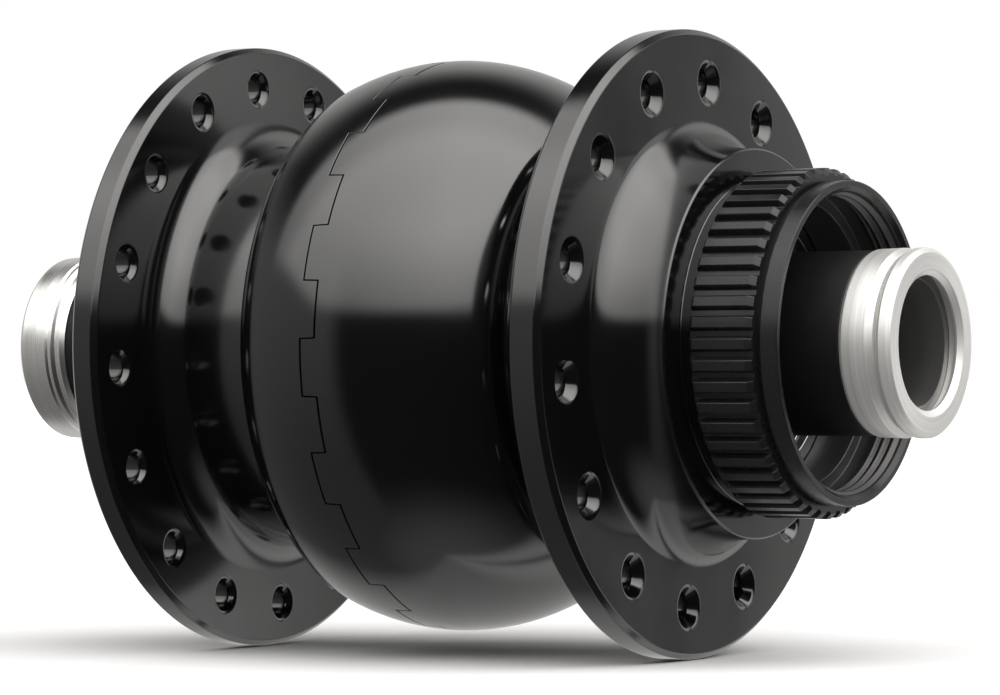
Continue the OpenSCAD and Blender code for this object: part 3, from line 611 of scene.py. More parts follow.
def seam_sheets(columns, join_t, toward, gap_side, inner_t):
    """The crown from join_t to the seam, the seam's own faces, and the wall inside. toward is -1 for
    the disc side half, which ends towards -Y, and +1 for the other."""
    angles, finger = seam_columns(columns, -gap_side * SEAM_GAP / 2)
    angles = nearest_turn(angles, columns)
    edge = np.where(finger, SEAM_HIGH, SEAM_LOW) - toward * SEAM_GAP / 2
    break_t = edge - toward * SEAM_BREAK
    blend = np.array([0, 0.35, 0.7, 1.0, 1.0])
    run = np.array([0, 0.12, 0.24, 0.36, 1.0])
    t = join_t + run[:, None] * (break_t - join_t)[None, :]
    a = columns[None, :] + blend[:, None] * (angles - columns)[None, :]
    skin = crown(t)
    outer_r = skin[-1, :, 0]
    half_way = np.stack([outer_r - 0.3 * SEAM_BREAK, edge - toward * 0.3 * SEAM_BREAK,
                         np.full(COLUMNS, HALF_TURNED), np.full(COLUMNS, toward * HALF_TURNED)], axis=-1)
    at_edge = np.stack([outer_r - SEAM_BREAK, edge, np.zeros(COLUMNS), np.full(COLUMNS, toward)], axis=-1)
    outside = np.concatenate([skin, half_way[None], at_edge[None]])
    a = np.vstack([a, angles, angles])

    def placed(grid, turn):
        """Points and normals of a grid of (r, t, normal), each turned about the axle."""
        r, t_, nr, nt = (grid[..., i] for i in range(4))
        points = np.stack([r * np.cos(turn), t_, r * np.sin(turn)], axis=-1)
        return points, np.stack([nr * np.cos(turn), nt, nr * np.sin(turn)], axis=-1)

    points, normals = placed(outside, a)
    inside_t = edge[None, :] + np.array([0, 0.6, 1.0])[:, None] * (inner_t - edge)[None, :]
    inside_a = angles[None, :] + np.array([0, 0, 1.0])[:, None] * (columns - angles)[None, :]
    inside = np.stack([np.full_like(inside_t, CAVITY_R), inside_t, -np.ones_like(inside_t),
                       np.zeros_like(inside_t)], axis=-1)
    in_points, in_normals = placed(inside, inside_a)
    rim = np.stack([points[-1], in_points[0]])
    sheets = [sheet(points, normals, around=True), sheet(rim, None, around=True),
              sheet(in_points, in_normals, around=True)]
    if toward > 0:
        return sheets
    return [flipped(s) for s in sheets]


def flipped(part):
    """The same sheet with its faces turned over, for grids that were walked the other way."""
    return dict(part, faces=part["faces"][:, ::-1])


print("seam: fingers", SEAM_STEPS // 2, "depth, mm:", round(SEAM_HIGH - SEAM_LOW, 2), "gap, mm:", SEAM_GAP)

# %% [markdown]
# ## Spoke holes
#
# A spoke hole is drilled, and both mouths are broken by a soft countersink, so that a spoke's bend
# doesn't rest on an edge. In a mirror-black flange each mouth catches one small bright patch. The solids
# have a plain countersink of the same mouth and depth, which is rounded here. The
# flange face around a hole is a patch of its own: it starts at the border of its sector and shrinks
# row by row to the hole's rim, then runs down the countersink, through the hole and out the other side.

# %% Spoke holes
PATCH_IN_R = 23.0
PATCH_OUT_R = 29.2
SIDE_ROWS = 12
HOLE_R = 1.3
LIP = 0.05
MOUTH_ROUND = 0.55
THROAT_ROUND = 0.45
FLANGE_R = 30.5
FLANGE_BREAK = 0.5
DISC_FLANGE = (21.5, 25.0)
WIRE_FLANGE = (-28.0, -25.0)


def sector_border(columns, first_column, per_hole):
    """Points round one sector: out along one side, along the outer arc, in along the other side and back
    along the inner arc, as radius and angle."""
    first = columns[0] + first_column * 2 * math.pi / COLUMNS
    arc_a = first + np.arange(per_hole + 1) * 2 * math.pi / COLUMNS
    side_r = np.linspace(PATCH_IN_R, PATCH_OUT_R, SIDE_ROWS + 1)
    r = np.concatenate([side_r[:-1], np.full(per_hole, PATCH_OUT_R), side_r[:0:-1],
                        np.full(per_hole, PATCH_IN_R)])
    a = np.concatenate([np.full(SIDE_ROWS, arc_a[0]), arc_a[:-1], np.full(SIDE_ROWS, arc_a[-1]),
                        arc_a[:0:-1]])
    return np.stack([r * np.cos(a), r * np.sin(a)], axis=-1)


def hole_sheets(columns, holes, pcd_r, mouth_r, t_low, t_high):
    """For each hole one grid: rows run from the border on the low face, over the rim and through the
    hole, to the border on the high face."""
    per_hole = COLUMNS // holes
    depth = mouth_r - HOLE_R
    lip = mouth_r + LIP
    middle = (t_low + t_high) / 2
    way = rounded((lip, t_low), (mouth_r - 0.30, t_low, MOUTH_ROUND),
                  (HOLE_R, t_low + depth - 0.15, THROAT_ROUND), (HOLE_R, middle))
    way = way * np.array([1, 1, -1, -1])
    back = way[::-1] * np.array([1, -1, 1, -1]) + np.array([0, 2 * middle, 0, 0])
    tube = np.vstack([way, back[1:]])
    rows_out = np.array([0, 0.3, 0.6, 0.85])
    sheets = []
    for hole in range(holes):
        border = sector_border(columns, hole * per_hole, per_hole)
        mid = columns[0] + (hole + 0.5) * per_hole * 2 * math.pi / COLUMNS
        centre = pcd_r * np.array([math.cos(mid), math.sin(mid)])
        away = border - centre
        away /= np.linalg.norm(away, axis=1)[:, None]
        rim = centre + lip * away
        flat = border + rows_out[:, None, None] * (rim - border)
        ring = centre + tube[:, 0][:, None, None] * away
        plane = np.concatenate([flat, ring, flat[::-1]])
        t = np.concatenate([np.full(4, t_low), tube[:, 1], np.full(4, t_high)])
        nr = np.concatenate([np.zeros(4), tube[:, 2], np.zeros(4)])
        nt = np.concatenate([np.full(4, -1.0), tube[:, 3], np.full(4, 1.0)])
        points = np.stack([plane[..., 0], np.broadcast_to(t[:, None], plane.shape[:2]), plane[..., 1]], -1)
        side = nr[:, None, None] * away
        normals = np.stack([side[..., 0], np.broadcast_to(nt[:, None], side.shape[:2]), side[..., 1]], -1)
        sheets.append(flipped(sheet(points, normals, around=True)))
    return sheets


def flange_rim(low, high):
    """The rim of a flange between the faces low and high: both corners are broken at 45 degrees."""
    inner = FLANGE_R - FLANGE_BREAK
    return rounded((PATCH_OUT_R, low), (inner, low, 0.25), (FLANGE_R, low + FLANGE_BREAK, 0.25),
                   (FLANGE_R, high - FLANGE_BREAK, 0.25), (inner, high, 0.25), (PATCH_OUT_R, high))


print("thickness of the flanges, mm:", [high - low for low, high in (DISC_FLANGE, WIRE_FLANGE)])

# %% [markdown]
# ## The disc side half
#
# Outside, from the middle: crown, shoulder, neck, flange, boss, the flat face that the brake disc rests
# on, a relief groove, the splines and a plain collar. Inside, from the collar: a thread for the lock
# ring, its relief, a plain bore, a groove for the circlip, the bearing's seat and the hollow middle.
#
# The thread comes first. It could be a bump in the material, but its crests stand against the light in
# the open collar, and a bump has no outline. So the bore's radius is a function of place and turn. The
# solid has a plain bore there.

# %% The thread for the lock ring
THREAD_R = 14.5
THREAD_DEPTH = 0.42
THREAD_PITCH = 1.0
THREAD_FROM = 41.3
THREAD_TO = 38.3
THREAD_ROWS = 42
THREAD_FADE = 0.5


def thread_sheet(columns):
    """A bore whose radius is THREAD_R less a ridge of THREAD_DEPTH. The ridge is a cosine of the turn
    about the axle less the place over the pitch, and fades out at both ends. The normal is the
    gradient of that radius."""
    rows = THREAD_ROWS
    t = np.linspace(THREAD_FROM, THREAD_TO, rows + 1)[:, None]
    a = columns[None, :]
    phase = 2 * math.pi * t / THREAD_PITCH - a
    ends = np.clip((THREAD_FROM - t) / THREAD_FADE, 0, 1) * np.clip((t - THREAD_TO) / THREAD_FADE, 0, 1)
    fade = ends * ends * (3 - 2 * ends)
    ridge = (0.5 + 0.5 * np.cos(phase)) ** 1.3
    r = THREAD_R - THREAD_DEPTH * fade * ridge
    by_t = np.gradient(r, t[:, 0], axis=0)
    by_a = (np.roll(r, -1, axis=1) - np.roll(r, 1, axis=1)) / (4 * math.pi / COLUMNS)
    points = np.stack([r * np.cos(a), t + 0 * a, r * np.sin(a)], axis=-1)
    inwards, along, around = -np.ones_like(r), by_t, by_a / r
    size = np.sqrt(inwards ** 2 + along ** 2 + around ** 2)
    nr, nt, na = inwards / size, along / size, around / size
    normals = np.stack([nr * np.cos(a) - na * np.sin(a), nt, nr * np.sin(a) + na * np.cos(a)], axis=-1)
    return sheet(points, normals, around=True)


print("turns of the thread:", round((THREAD_FROM - THREAD_TO) / THREAD_PITCH, 1))

# %% [markdown]
# The splines carry the brake disc. Each tooth has a flat tip and steep flanks, milled along the axle. A
# boolean with 52 cutters would work, but a ring whose radius steps up and down with the turn gives the
# same teeth with clean faces. It is a closed piece of its own that stands in the collar's wall.

# %% The splines
TEETH = 52
SPLINE_ROOT_R = 16.0
SPLINE_TIP_R = 16.75
SPLINE_FROM = 32.9
SPLINE_TO = 39.5
SPLINE_SLOPE = 0.5
SPLINE_INNER_R = 15.1


def spline_sheets():
    """A ring of teeth. Round one pitch the radius goes root, flank, tip, flank, root. Towards each end
    a cone cuts the tips down by SPLINE_SLOPE."""
    share = np.array([-0.5, -0.375, -0.34, -0.245, -0.21, 0, 0.21, 0.245, 0.34, 0.375])
    height = np.array([0, 0, 0.08, 0.92, 1, 1, 1, 0.92, 0.08, 0])
    pitch = 2 * math.pi / TEETH
    angles = (np.arange(TEETH)[:, None] + share).ravel() * pitch
    r = SPLINE_ROOT_R + np.tile(height, TEETH) * (SPLINE_TIP_R - SPLINE_ROOT_R)
    low = np.minimum(r, SPLINE_TIP_R - SPLINE_SLOPE)
    inner = np.full_like(r, SPLINE_INNER_R)
    rows = [(inner, SPLINE_FROM), (low, SPLINE_FROM), (r, SPLINE_FROM + SPLINE_SLOPE),
            (r, SPLINE_TO - SPLINE_SLOPE), (low, SPLINE_TO), (inner, SPLINE_TO)]
    x = np.stack([radius * np.cos(angles) for radius, _ in rows])
    y = np.stack([np.full_like(radius, t) for radius, t in rows])
    z = np.stack([radius * np.sin(angles) for radius, _ in rows])
    return [finished(sheet(np.stack([x, y, z], -1), None, around=True, up=True), 1)]


print("splines:", TEETH, "diameter over the tips, mm:", 2 * SPLINE_TIP_R)

# %% [markdown]
# The flange sweeps up into the boss in one curve that starts flat and ends steep. A circle is too round
# for it, so it is a quarter of an ellipse. The solid has a fillet and a taper instead, and the curve lies
# up to 0.2 mm outside it. The half is then a list of grids, each with its finish:
# polished outside, cut at the collar and the splines, and plain in the bores.

# %% The disc side half
def cove(from_r, edge_r, across, face_t, along):
    """A flat face that sweeps up into the boss along a quarter of an ellipse. With u from 0 to 90 degrees,
    r = edge_r - across * sin(u) and t = face_t + along * (1 - cos(u)). Its normal leans the same way as
    (sin(u) / across, cos(u) / along)."""
    u = np.linspace(0, math.pi / 2, 19)
    out = np.stack([np.sin(u) / across, np.cos(u) / along], axis=-1)
    out /= np.linalg.norm(out, axis=1, keepdims=True)
    sweep = np.column_stack([edge_r - across * np.sin(u), face_t + along * (1 - np.cos(u)), out])
    return np.vstack([[[from_r, face_t, 0, 1]], sweep])


def disc_outside():
    """From the holes inwards over the boss to the seat, and then the collar to its end."""
    to_boss = np.vstack([cove(PATCH_IN_R, 21.7, 2.9, DISC_FLANGE[1], 6.1), arc(18.6, 31.4, 0.2, 0, 90),
                         rounded((18.0, 31.6), (15.7, 31.6, 0.15), (15.7, SPLINE_FROM + 0.05))])
    collar = rounded((15.7, SPLINE_FROM + 0.05), (15.7, 39.3, 0.05), (15.2, 39.3, 0.05), (15.2, 39.9, 0.08),
                     (15.5, 39.9, 0.1), (15.5, 41.7, 0.12), (14.9, 41.7, 0.08), (THREAD_R, THREAD_FROM))
    return to_boss, collar


def disc_inside():
    """From the thread's inner end to the hollow middle."""
    return rounded((THREAD_R, THREAD_TO), (14.7, THREAD_TO, 0.02), (14.7, 36.6, 0.15), (13.5, 36.6, 0.12),
                   (13.5, 32.6, 0.08), (14.0, 32.6, 0.08), (14.0, 31.5, 0.08), (13.02, 31.5, 0.08),
                   (13.02, 24.5, 0.1), (11.8, 24.5, 0.1), (11.8, 23.0, 0.1), (15.0, 23.0, 0.1),
                   (15.0, BULB_MID + CAVITY_HALF, 0.2), (CAVITY_R, BULB_MID + CAVITY_HALF, CAVITY_CORNER),
                   (CAVITY_R, 0.6))


def disc_half():
    """The grids of the half. The neck runs from the seam over the shoulder and up to the flange."""
    low, high = DISC_FLANGE
    neck = np.vstack([crown(np.linspace(DISC_JOIN_T, BULB_MID + DISC_CROWN, 14))[:-1],
                      bulb_flank(1, DISC_CROWN, DISC_SHOULDER_R, 0.74),
                      arc(NECK_R + NECK_FILLET, low - NECK_FILLET, NECK_FILLET, 180, 90, hollow=True)])
    to_boss, collar = disc_outside()
    sheets = [turned(part, disc_columns) for part in (neck, flange_rim(low, high), to_boss)]
    sheets += hole_sheets(disc_columns, DISC_HOLES, 25.5, 2.4, low, high)
    sheets += [finished(turned(collar, disc_columns), 1), finished(thread_sheet(disc_columns), 2)]
    sheets += [finished(turned(disc_inside(), disc_columns), 2)]
    sheets += seam_sheets(disc_columns, DISC_JOIN_T, -1, 1, 0.6)
    sheets += spline_sheets()
    return sheets


piece("hub_shell_disc_side", "hub_shell", "disc_side_shell", disc_half(),
      [MATERIALS["shell_black"], MATERIALS["cut_black"], MATERIALS["bore_black"]])

# %% [markdown]
# ## The connector side half
#
# It is made as the other half was, with two differences on the outside. Its crown ends sooner, and a
# broader shoulder leads down to the neck. Beyond the flange is only a low boss that holds the bearing.
# This half carries the fingers of the seam, and a groove under them holds a ring seal.

# %% The connector side half
WIRE_BOSS_END = -36.6


def wire_half():
    """The grids of the half. The neck runs from the flange over the shoulder to the seam."""
    low, high = WIRE_FLANGE
    flank = bulb_flank(-1, WIRE_CROWN, WIRE_SHOULDER_R, 1.5)[::-1]
    neck = np.vstack([arc(NECK_R + NECK_FILLET, high + NECK_FILLET, NECK_FILLET, 270, 180, hollow=True),
                      flank, crown(np.linspace(BULB_MID - WIRE_CROWN, WIRE_JOIN_T, 5))[1:]])
    boss = np.vstack([rounded((13.5, WIRE_BOSS_END + 0.2), (13.5, WIRE_BOSS_END, 0.1),
                              (16.0, WIRE_BOSS_END, 0.15), (16.5, WIRE_BOSS_END + 0.5, 0.15),
                              (16.5, -30.0)),
                      arc(18.5, -30.0, 2.0, 180, 90, hollow=True), straight(18.5, low, PATCH_IN_R, low)])
    cavity_end = BULB_MID - CAVITY_HALF
    inside = rounded((CAVITY_R, -3.4), (CAVITY_R, -3.705, 0.05), (26.44, -3.705, 0.05),
                     (26.44, -4.845, 0.05), (CAVITY_R, -4.845, 0.05), (CAVITY_R, cavity_end, CAVITY_CORNER),
                     (15.0, cavity_end, 0.2), (15.0, -26.0, 0.1), (11.8, -26.0, 0.1), (11.8, -27.5, 0.1),
                     (13.02, -27.5, 0.1), (13.02, -34.5, 0.08), (14.0, -34.5, 0.08), (14.0, -35.6, 0.08),
                     (13.5, -35.6, 0.08), (13.5, WIRE_BOSS_END + 0.2))
    sheets = [turned(part, wire_columns) for part in (neck, flange_rim(low, high), boss)]
    sheets += hole_sheets(wire_columns, WIRE_HOLES, 26.3, 2.05, low, high)
    sheets += [finished(turned(inside, wire_columns), 1)]
    sheets += seam_sheets(wire_columns, WIRE_JOIN_T, 1, -1, -3.4)
    return sheets


piece("hub_shell_connector_side", "hub_shell", "connector_side_shell",
      wire_half(), [MATERIALS["shell_black"], MATERIALS["bore_black"]])

# %% [markdown]
# ## Axle, sleeves and end caps
#
# The caps are bare aluminium. Their faces carry the fine rings of the lathe tool, and small lands and
# grooves for the fingers. The groove of the disc side cap is cut deeper here than in its solid, so that
# it reads as a sharp dark line, and its mouth has a small recess that the solid lacks. The sleeves between them are matte black. A small round on every edge
# catches a line of light, which is what makes such a piece look solid.

# %% Turned pieces
RING_COLUMNS = 160
BORE_R = 7.52
SLEEVE_R = 8.8
LIP_R = 6.4
END_T = 50.0
EDGE = 0.12
ring_angles = np.arange(RING_COLUMNS) * 2 * math.pi / RING_COLUMNS


def ring(name, body, slot, node, corners, material=None):
    """A closed profile turned about the axle. The last corner is the first one again."""
    return piece(name, body, node, [turned(rounded(*corners), ring_angles)],
                 [material or MATERIALS[slot]])


def sleeve(name, node, start, low, high):
    """A plain tube between two faces. Its profile starts in the bore, at the place start."""
    ring(name, "fixed_axle", "sleeve_black", node, [
        (BORE_R, start), (BORE_R, low, EDGE), (SLEEVE_R, low, EDGE), (SLEEVE_R, high, EDGE),
        (BORE_R, high, EDGE), (BORE_R, start)])


sleeve("sleeve_disc_side", "disc_side_sleeve", 38.0, 31.5, 44.6)
sleeve("spacer_connector_side", "connector_side_spacer", -36.0, -37.0, -34.5)
sleeve("sleeve_connector_side", "connector_side_sleeve", -41.0, -44.5, -39.4)
disc_cap = ring("end_cap_disc_side", "fixed_axle", "cap_silver", "disc_side_end_cap", [
    (BORE_R, 46.0), (BORE_R, 44.6, 0.05), (8.72, 44.6, 0.1), (8.93, 44.95, 0.12), (9.0, 47.4, 0.2),
    (8.66, 48.1, 0.1), (8.25, 48.3, 0.05), (8.25, 48.45, 0.05), (8.9, 48.6, 0.08), (9.0, 48.85, 0.12),
    (9.0, 49.6, 0.3), (8.6, END_T, 0.25), (7.0, END_T, 0.12), (LIP_R, 49.55, 0.1), (LIP_R, 49.3, 0.05),
    (6.95, 49.2, 0.05), (6.95, 48.42, 0.05), (BORE_R, 48.42, 0.02), (BORE_R, 46.0)])
wire_cap = ring("end_cap_connector_side", "fixed_axle", "cap_silver", "connector_side_end_cap", [
    (BORE_R, -46.0), (BORE_R, -48.42, 0.02), (LIP_R, -48.42, 0.05), (LIP_R, -49.6, 0.12),
    (6.8, -END_T, 0.12), (9.05, -END_T, 0.2), (9.4, -49.65, 0.25), (9.5, -47.8, 0.3), (9.5, -46.6, 0.1),
    (9.35, -46.4, 0.08), (9.35, -46.0, 0.1), (9.05, -45.7, 0.1), (9.05, -45.1, 0.1), (8.9, -44.5, 0.12),
    (BORE_R, -44.5, 0.05), (BORE_R, -46.0)], MATERIALS["ridged_silver"])
print("cap diameters, mm:", [round(cap.dimensions.x / MM, 2) for cap in (disc_cap, wire_cap)])

# %% [markdown]
# ## The bearings
#
# Through the open collar one sees the outer bearing: two ground steel races with a rubber seal between
# them. Each race is a closed profile like every other turned piece. Its ball groove is a circle a little
# wider than the ball, so the balls of the solids lie in it with room to roll.

# %% Bearing faces
BEARING_W = 7
BALL_CIRCLE_R = 10.25
GROOVE_R = 1.77
INNER_LAND_R = 9.095
OUTER_LAND_R = 11.405
SEAL_SEAT_R = 11.905
OUTER_RACE_R = 13.0
SEAL_SEAT_T = 0.62
SEAL_R = 11.885
SEAL_BORE_R = 9.245
SEAL_T = 0.5
SEAL_GROOVE_T = 0.15


def ball_groove(land_r):
    """Half the width that the groove takes of a land, and the angle at which its circle meets it."""
    deep = abs(BALL_CIRCLE_R - land_r)
    half_width = math.sqrt(GROOVE_R ** 2 - deep ** 2)
    return half_width, math.degrees(math.atan2(half_width, deep))


def inner_race(name, node, at):
    """A band with broken edges and a groove cut into its outside. It stands still with the axle."""
    mid, end, land = at + BEARING_W / 2, at + BEARING_W, INNER_LAND_R
    half_width, touch = ball_groove(land)
    loop = np.vstack([
        rounded((BORE_R, mid), (BORE_R, at, 0.2), (land, at, 0.1), (land, mid - half_width)),
        arc(BALL_CIRCLE_R, mid, GROOVE_R, 180 + touch, 180 - touch, hollow=True),
        rounded((land, mid + half_width), (land, end, 0.1), (BORE_R, end, 0.2), (BORE_R, mid))])
    return piece(name, "fixed_axle", node, [turned(loop, ring_angles)],
                 [MATERIALS["bearing_steel"]])


def outer_race(name, node, at):
    """A band with a groove cut into its inside, and a step at either end that seats a seal."""
    mid, end, land = at + BEARING_W / 2, at + BEARING_W, OUTER_LAND_R
    half_width, touch = ball_groove(land)
    first, last = at + SEAL_SEAT_T, end - SEAL_SEAT_T
    loop = np.vstack([
        rounded((OUTER_RACE_R, mid), (OUTER_RACE_R, end, 0.3), (SEAL_SEAT_R, end, 0.1),
                (SEAL_SEAT_R, last, 0.05), (land, last, 0.08), (land, mid + half_width)),
        arc(BALL_CIRCLE_R, mid, GROOVE_R, touch, -touch, hollow=True),
        rounded((land, mid - half_width), (land, first, 0.08), (SEAL_SEAT_R, first, 0.05),
                (SEAL_SEAT_R, at, 0.1), (OUTER_RACE_R, at, 0.3), (OUTER_RACE_R, mid))])
    return piece(name, "hub_shell", node, [turned(loop, ring_angles)],
                 [MATERIALS["bearing_steel"]])


def seal_pair(name, node, at):
    """Two rubber discs, each with a shallow moulded groove on its outer face."""
    sheets = []
    for low, side in ((at + 0.1, -1), (at + 6.4, 1)):
        high = low + SEAL_T
        if side > 0:
            floor_t = high - SEAL_GROOVE_T
            face = [(SEAL_R, high, 0.1), (11.0, high, 0.05), (10.8, floor_t, 0.05), (10.0, floor_t, 0.05),
                    (9.8, high, 0.05), (SEAL_BORE_R, high, 0.08), (SEAL_BORE_R, low, 0.08),
                    (SEAL_R, low, 0.08)]
        else:
            floor_t = low + SEAL_GROOVE_T
            face = [(SEAL_R, high, 0.08), (SEAL_BORE_R, high, 0.08), (SEAL_BORE_R, low, 0.08),
                    (9.8, low, 0.05), (10.0, floor_t, 0.05), (10.8, floor_t, 0.05), (11.0, low, 0.05),
                    (SEAL_R, low, 0.1)]
        mid = (SEAL_R, (low + high) / 2)
        sheets.append(turned(rounded(mid, *face, mid), ring_angles))
    return piece(name, "hub_shell", node, sheets, [MATERIALS["seal_rubber"]])


for side, at in (("disc_side", 24.5), ("connector_side", -34.5)):
    outer_race(f"outer_race_{side}", f"{side}_outer_race", at)
    inner_race(f"inner_race_{side}", f"{side}_inner_race", at)
    seal_pair(f"bearing_seals_{side}", f"{side}_bearing_seals", at)

# %% [markdown]
# A circlip is stamped from spring steel: an open ring whose ends widen into two ears with a hole for
# the pliers. The ring is a small rounded section carried along an arc, with its two ends closed. Each ear
# is a second ring about a centre of its own, which overlaps the end it belongs to.

# %% Circlips
CLIP_IN_R = 12.1
CLIP_OUT_R = 13.95
EAR_TURN = math.radians(9)
EAR_R = 1.3
EAR_HOLE_R = 0.6
EAR_AT_R = 11.5
CLIP_T = 1.0


def clip_sheets(low, high):
    """The open ring: a rounded section carried along an arc, with closed ends. The ears: a flat ring
    between an outer circle and the hole, given the same thickness."""
    section = rounded((CLIP_IN_R + 0.5, low), (CLIP_OUT_R, low, 0.12), (CLIP_OUT_R, high, 0.12),
                      (CLIP_IN_R, high, 0.12), (CLIP_IN_R, low, 0.12), (CLIP_IN_R + 0.5, low))
    angles = np.linspace(EAR_TURN, 2 * math.pi - EAR_TURN, 121)
    sheets = [turned(section, angles, closed=False)]
    for angle in angles[[0, -1]]:
        rim = section[:, :2]
        middle = np.tile(rim.mean(axis=0), (len(rim), 1))
        both = np.stack([rim, middle])
        sheets.append(sheet(np.stack([both[..., 0] * math.cos(angle), both[..., 1],
                                      both[..., 0] * math.sin(angle)], -1), None, around=False))
    sheets[1] = flipped(sheets[1])
    ear = rounded((EAR_HOLE_R + 0.3, low), (EAR_R, low, 0.1), (EAR_R, high, 0.1), (EAR_HOLE_R, high, 0.08),
                  (EAR_HOLE_R, low, 0.08), (EAR_HOLE_R + 0.3, low))
    turn = np.linspace(0, 2 * math.pi, 33)[:-1]
    for angle in (-EAR_TURN, EAR_TURN):
        part = turned(ear, turn)
        centre = np.array([EAR_AT_R * math.cos(angle), 0, EAR_AT_R * math.sin(angle)])
        part["points"] = part["points"] + centre
        sheets.append(part)
    return sheets


for side, low in (("disc_side", 31.55), ("connector_side", -35.55)):
    piece(f"circlip_{side}", "hub_shell", f"{side}_circlip",
          clip_sheets(low, low + CLIP_T), [MATERIALS["bearing_steel"]])

# %% [markdown]
# ## The connector
#
# The photograph doesn't show the plug side of the hub, only that it must have one, so this is the
# common kind: a moulded disc on the axle with a raised block, from which two flat blades stand up. The
# block is an outline with rounded corners, pushed out to a thickness, with a small round along its
# edges.

# %% Pushed out outlines
def outline(corners):
    """A closed flat outline (x, z) through corners (x, z, round), as points with outward normals. It is
    the same rounding as for a profile, walked once round."""
    start = [(corners[0][0] + corners[-1][0]) / 2, (corners[0][1] + corners[-1][1]) / 2]
    way = rounded(start, *corners, start)
    return way[:-1] if np.allclose(way[0, :2], way[-1, :2]) else way


def pushed_out(way, low, high, edge):
    """An outline carried from low to high along the axle. At both ends it steps inwards by a quarter
    round of radius edge, and a flat face closes it, which shrinks to the outline's middle."""
    angle = np.radians([90, 60, 30, 0])
    inset = edge * (1 - np.cos(angle))
    t = np.concatenate([low + edge * (1 - np.sin(angle)), high - edge * (1 - np.sin(angle[::-1]))])
    step = np.concatenate([inset, inset[::-1]])
    lean = np.concatenate([-np.sin(angle), np.sin(angle[::-1])])
    flat = way[:, :2][None] - step[:, None, None] * way[:, 2:][None]
    points = np.stack([flat[..., 0], np.broadcast_to(t[:, None], flat.shape[:2]), flat[..., 1]], -1)
    straightness = np.sqrt(1 - lean ** 2)[:, None]
    normals = np.stack([straightness * way[:, 2], np.broadcast_to(lean[:, None], flat.shape[:2]),
                        straightness * way[:, 3]], -1)
    sheets = [sheet(points, normals, around=True)]
    middle = flat[0].mean(axis=0)
    for end, t_end in ((0, low), (-1, high)):
        rows = np.stack([flat[end] * (1 - s) + middle * s for s in (0, 1.0)])
        face = np.stack([rows[..., 0], np.full(rows.shape[:2], t_end), rows[..., 1]], -1)
        cap = sheet(face, None, around=True)
        sheets.append(flipped(cap) if end == 0 else cap)
    return sheets


# %% Connector housing and blades
HOUSING_IN = -37.0
HOUSING_OUT = -39.4
HOUSING_R = 14.0
BLOCK_EDGE = 0.3
BLADE_MIDS = (-3.7, 3.7)
BLADE_HALF_W = 2.4
BLADE_FOOT = 12.5
BLADE_TIP = 23.0
BLADE_FACES = (-38.6, -37.8)
BLADE_EDGE = 0.06
TIP_BEVEL = 0.8
BLADE_HOLE_AT = 20.4
BLADE_HOLE_R = 0.8
disc_loop = rounded((BORE_R, -38.2), (BORE_R, HOUSING_OUT, 0.1), (HOUSING_R, HOUSING_OUT, 0.35),
                    (HOUSING_R, HOUSING_IN, 0.35), (13.0, HOUSING_IN, 0.05), (13.0, -36.1, 0.1),
                    (12.0, -36.1, 0.1), (12.0, HOUSING_IN, 0.05), (BORE_R, HOUSING_IN, 0.1),
                    (BORE_R, -38.2))
block = outline([(-8.0, 8.6, 0.5), (8.0, 8.6, 0.5), (8.0, 17.0, 0.9), (-8.0, 17.0, 0.9)])
piece("connector_body", "fixed_axle", "connector_housing",
      [turned(disc_loop, ring_angles)] + pushed_out(block, -39.3, -37.1, BLOCK_EDGE),
      [MATERIALS["black_plastic"]])


def blade_sheets(mid):
    """One blade: a plate with bevelled tip corners. The face round its hole shrinks from the outline to
    the hole's edge, row by row, and the hole joins both faces."""
    left, right = mid - BLADE_HALF_W, mid + BLADE_HALF_W
    shoulder = BLADE_TIP - TIP_BEVEL
    way = outline([(left, BLADE_FOOT, 0.1), (right, BLADE_FOOT, 0.1), (right, shoulder, 0.15),
                   (right - TIP_BEVEL, BLADE_TIP, 0.15), (left + TIP_BEVEL, BLADE_TIP, 0.15),
                   (left, shoulder, 0.15)])
    centre = np.array([mid, BLADE_HOLE_AT])
    away = way[:, :2] - centre
    turn = np.arctan2(away[:, 1], away[:, 0])
    circle = centre + BLADE_HOLE_R * np.column_stack([np.cos(turn), np.sin(turn)])
    low, high = BLADE_FACES
    inner = way[:, :2] - BLADE_EDGE * way[:, 2:]
    between = inner * 0.4 + circle * 0.6
    loops = [(inner, low), (way[:, :2], low + BLADE_EDGE), (way[:, :2], high - BLADE_EDGE), (inner, high),
             (between, high), (circle, high), (circle, low), (between, low)]
    points = np.stack([np.stack([flat[:, 0], np.full(len(flat), t), flat[:, 1]], -1) for flat, t in loops])
    return sheet(points, None, around=True, up=True)


piece("connector_blades", "fixed_axle", "terminals",
      [blade_sheets(mid) for mid in BLADE_MIDS], [MATERIALS["terminal_tin"]])

# %% [markdown]
# ## The axle tube
#
# The tube runs through everything, and shows only in the mouths of the caps, as a grey bore. A slot for
# the leads is cut along it, which a turned profile can't have. So its piece is the solid's own mesh: a
# copy whose doubled points are merged, with smooth shading and only its sharp edges kept sharp.
#
# The generator inside the shell is never seen, so those solids stay as they are and get a finish each.

# %% The axle tube and the solids that stay
MERGE_M = 2e-6
SHARP_TURN = math.radians(25)


def smooth_copy(name, node, body, slot):
    """A solid's own mesh, with its doubles merged and only its sharp edges left sharp."""
    copy = frame["nodes"][node].data.copy()
    copy.name = name
    worker = bmesh.new()
    worker.from_mesh(copy)
    bmesh.ops.remove_doubles(worker, verts=worker.verts, dist=MERGE_M)
    worker.to_mesh(copy)
    worker.free()
    copy.polygons.foreach_set("use_smooth", np.ones(len(copy.polygons), bool))
    copy.set_sharp_from_angle(angle=SHARP_TURN)
    copy.materials.clear()
    copy.materials.append(MATERIALS[slot])
    return carried(bpy.data.objects.new(name, copy), body, node)


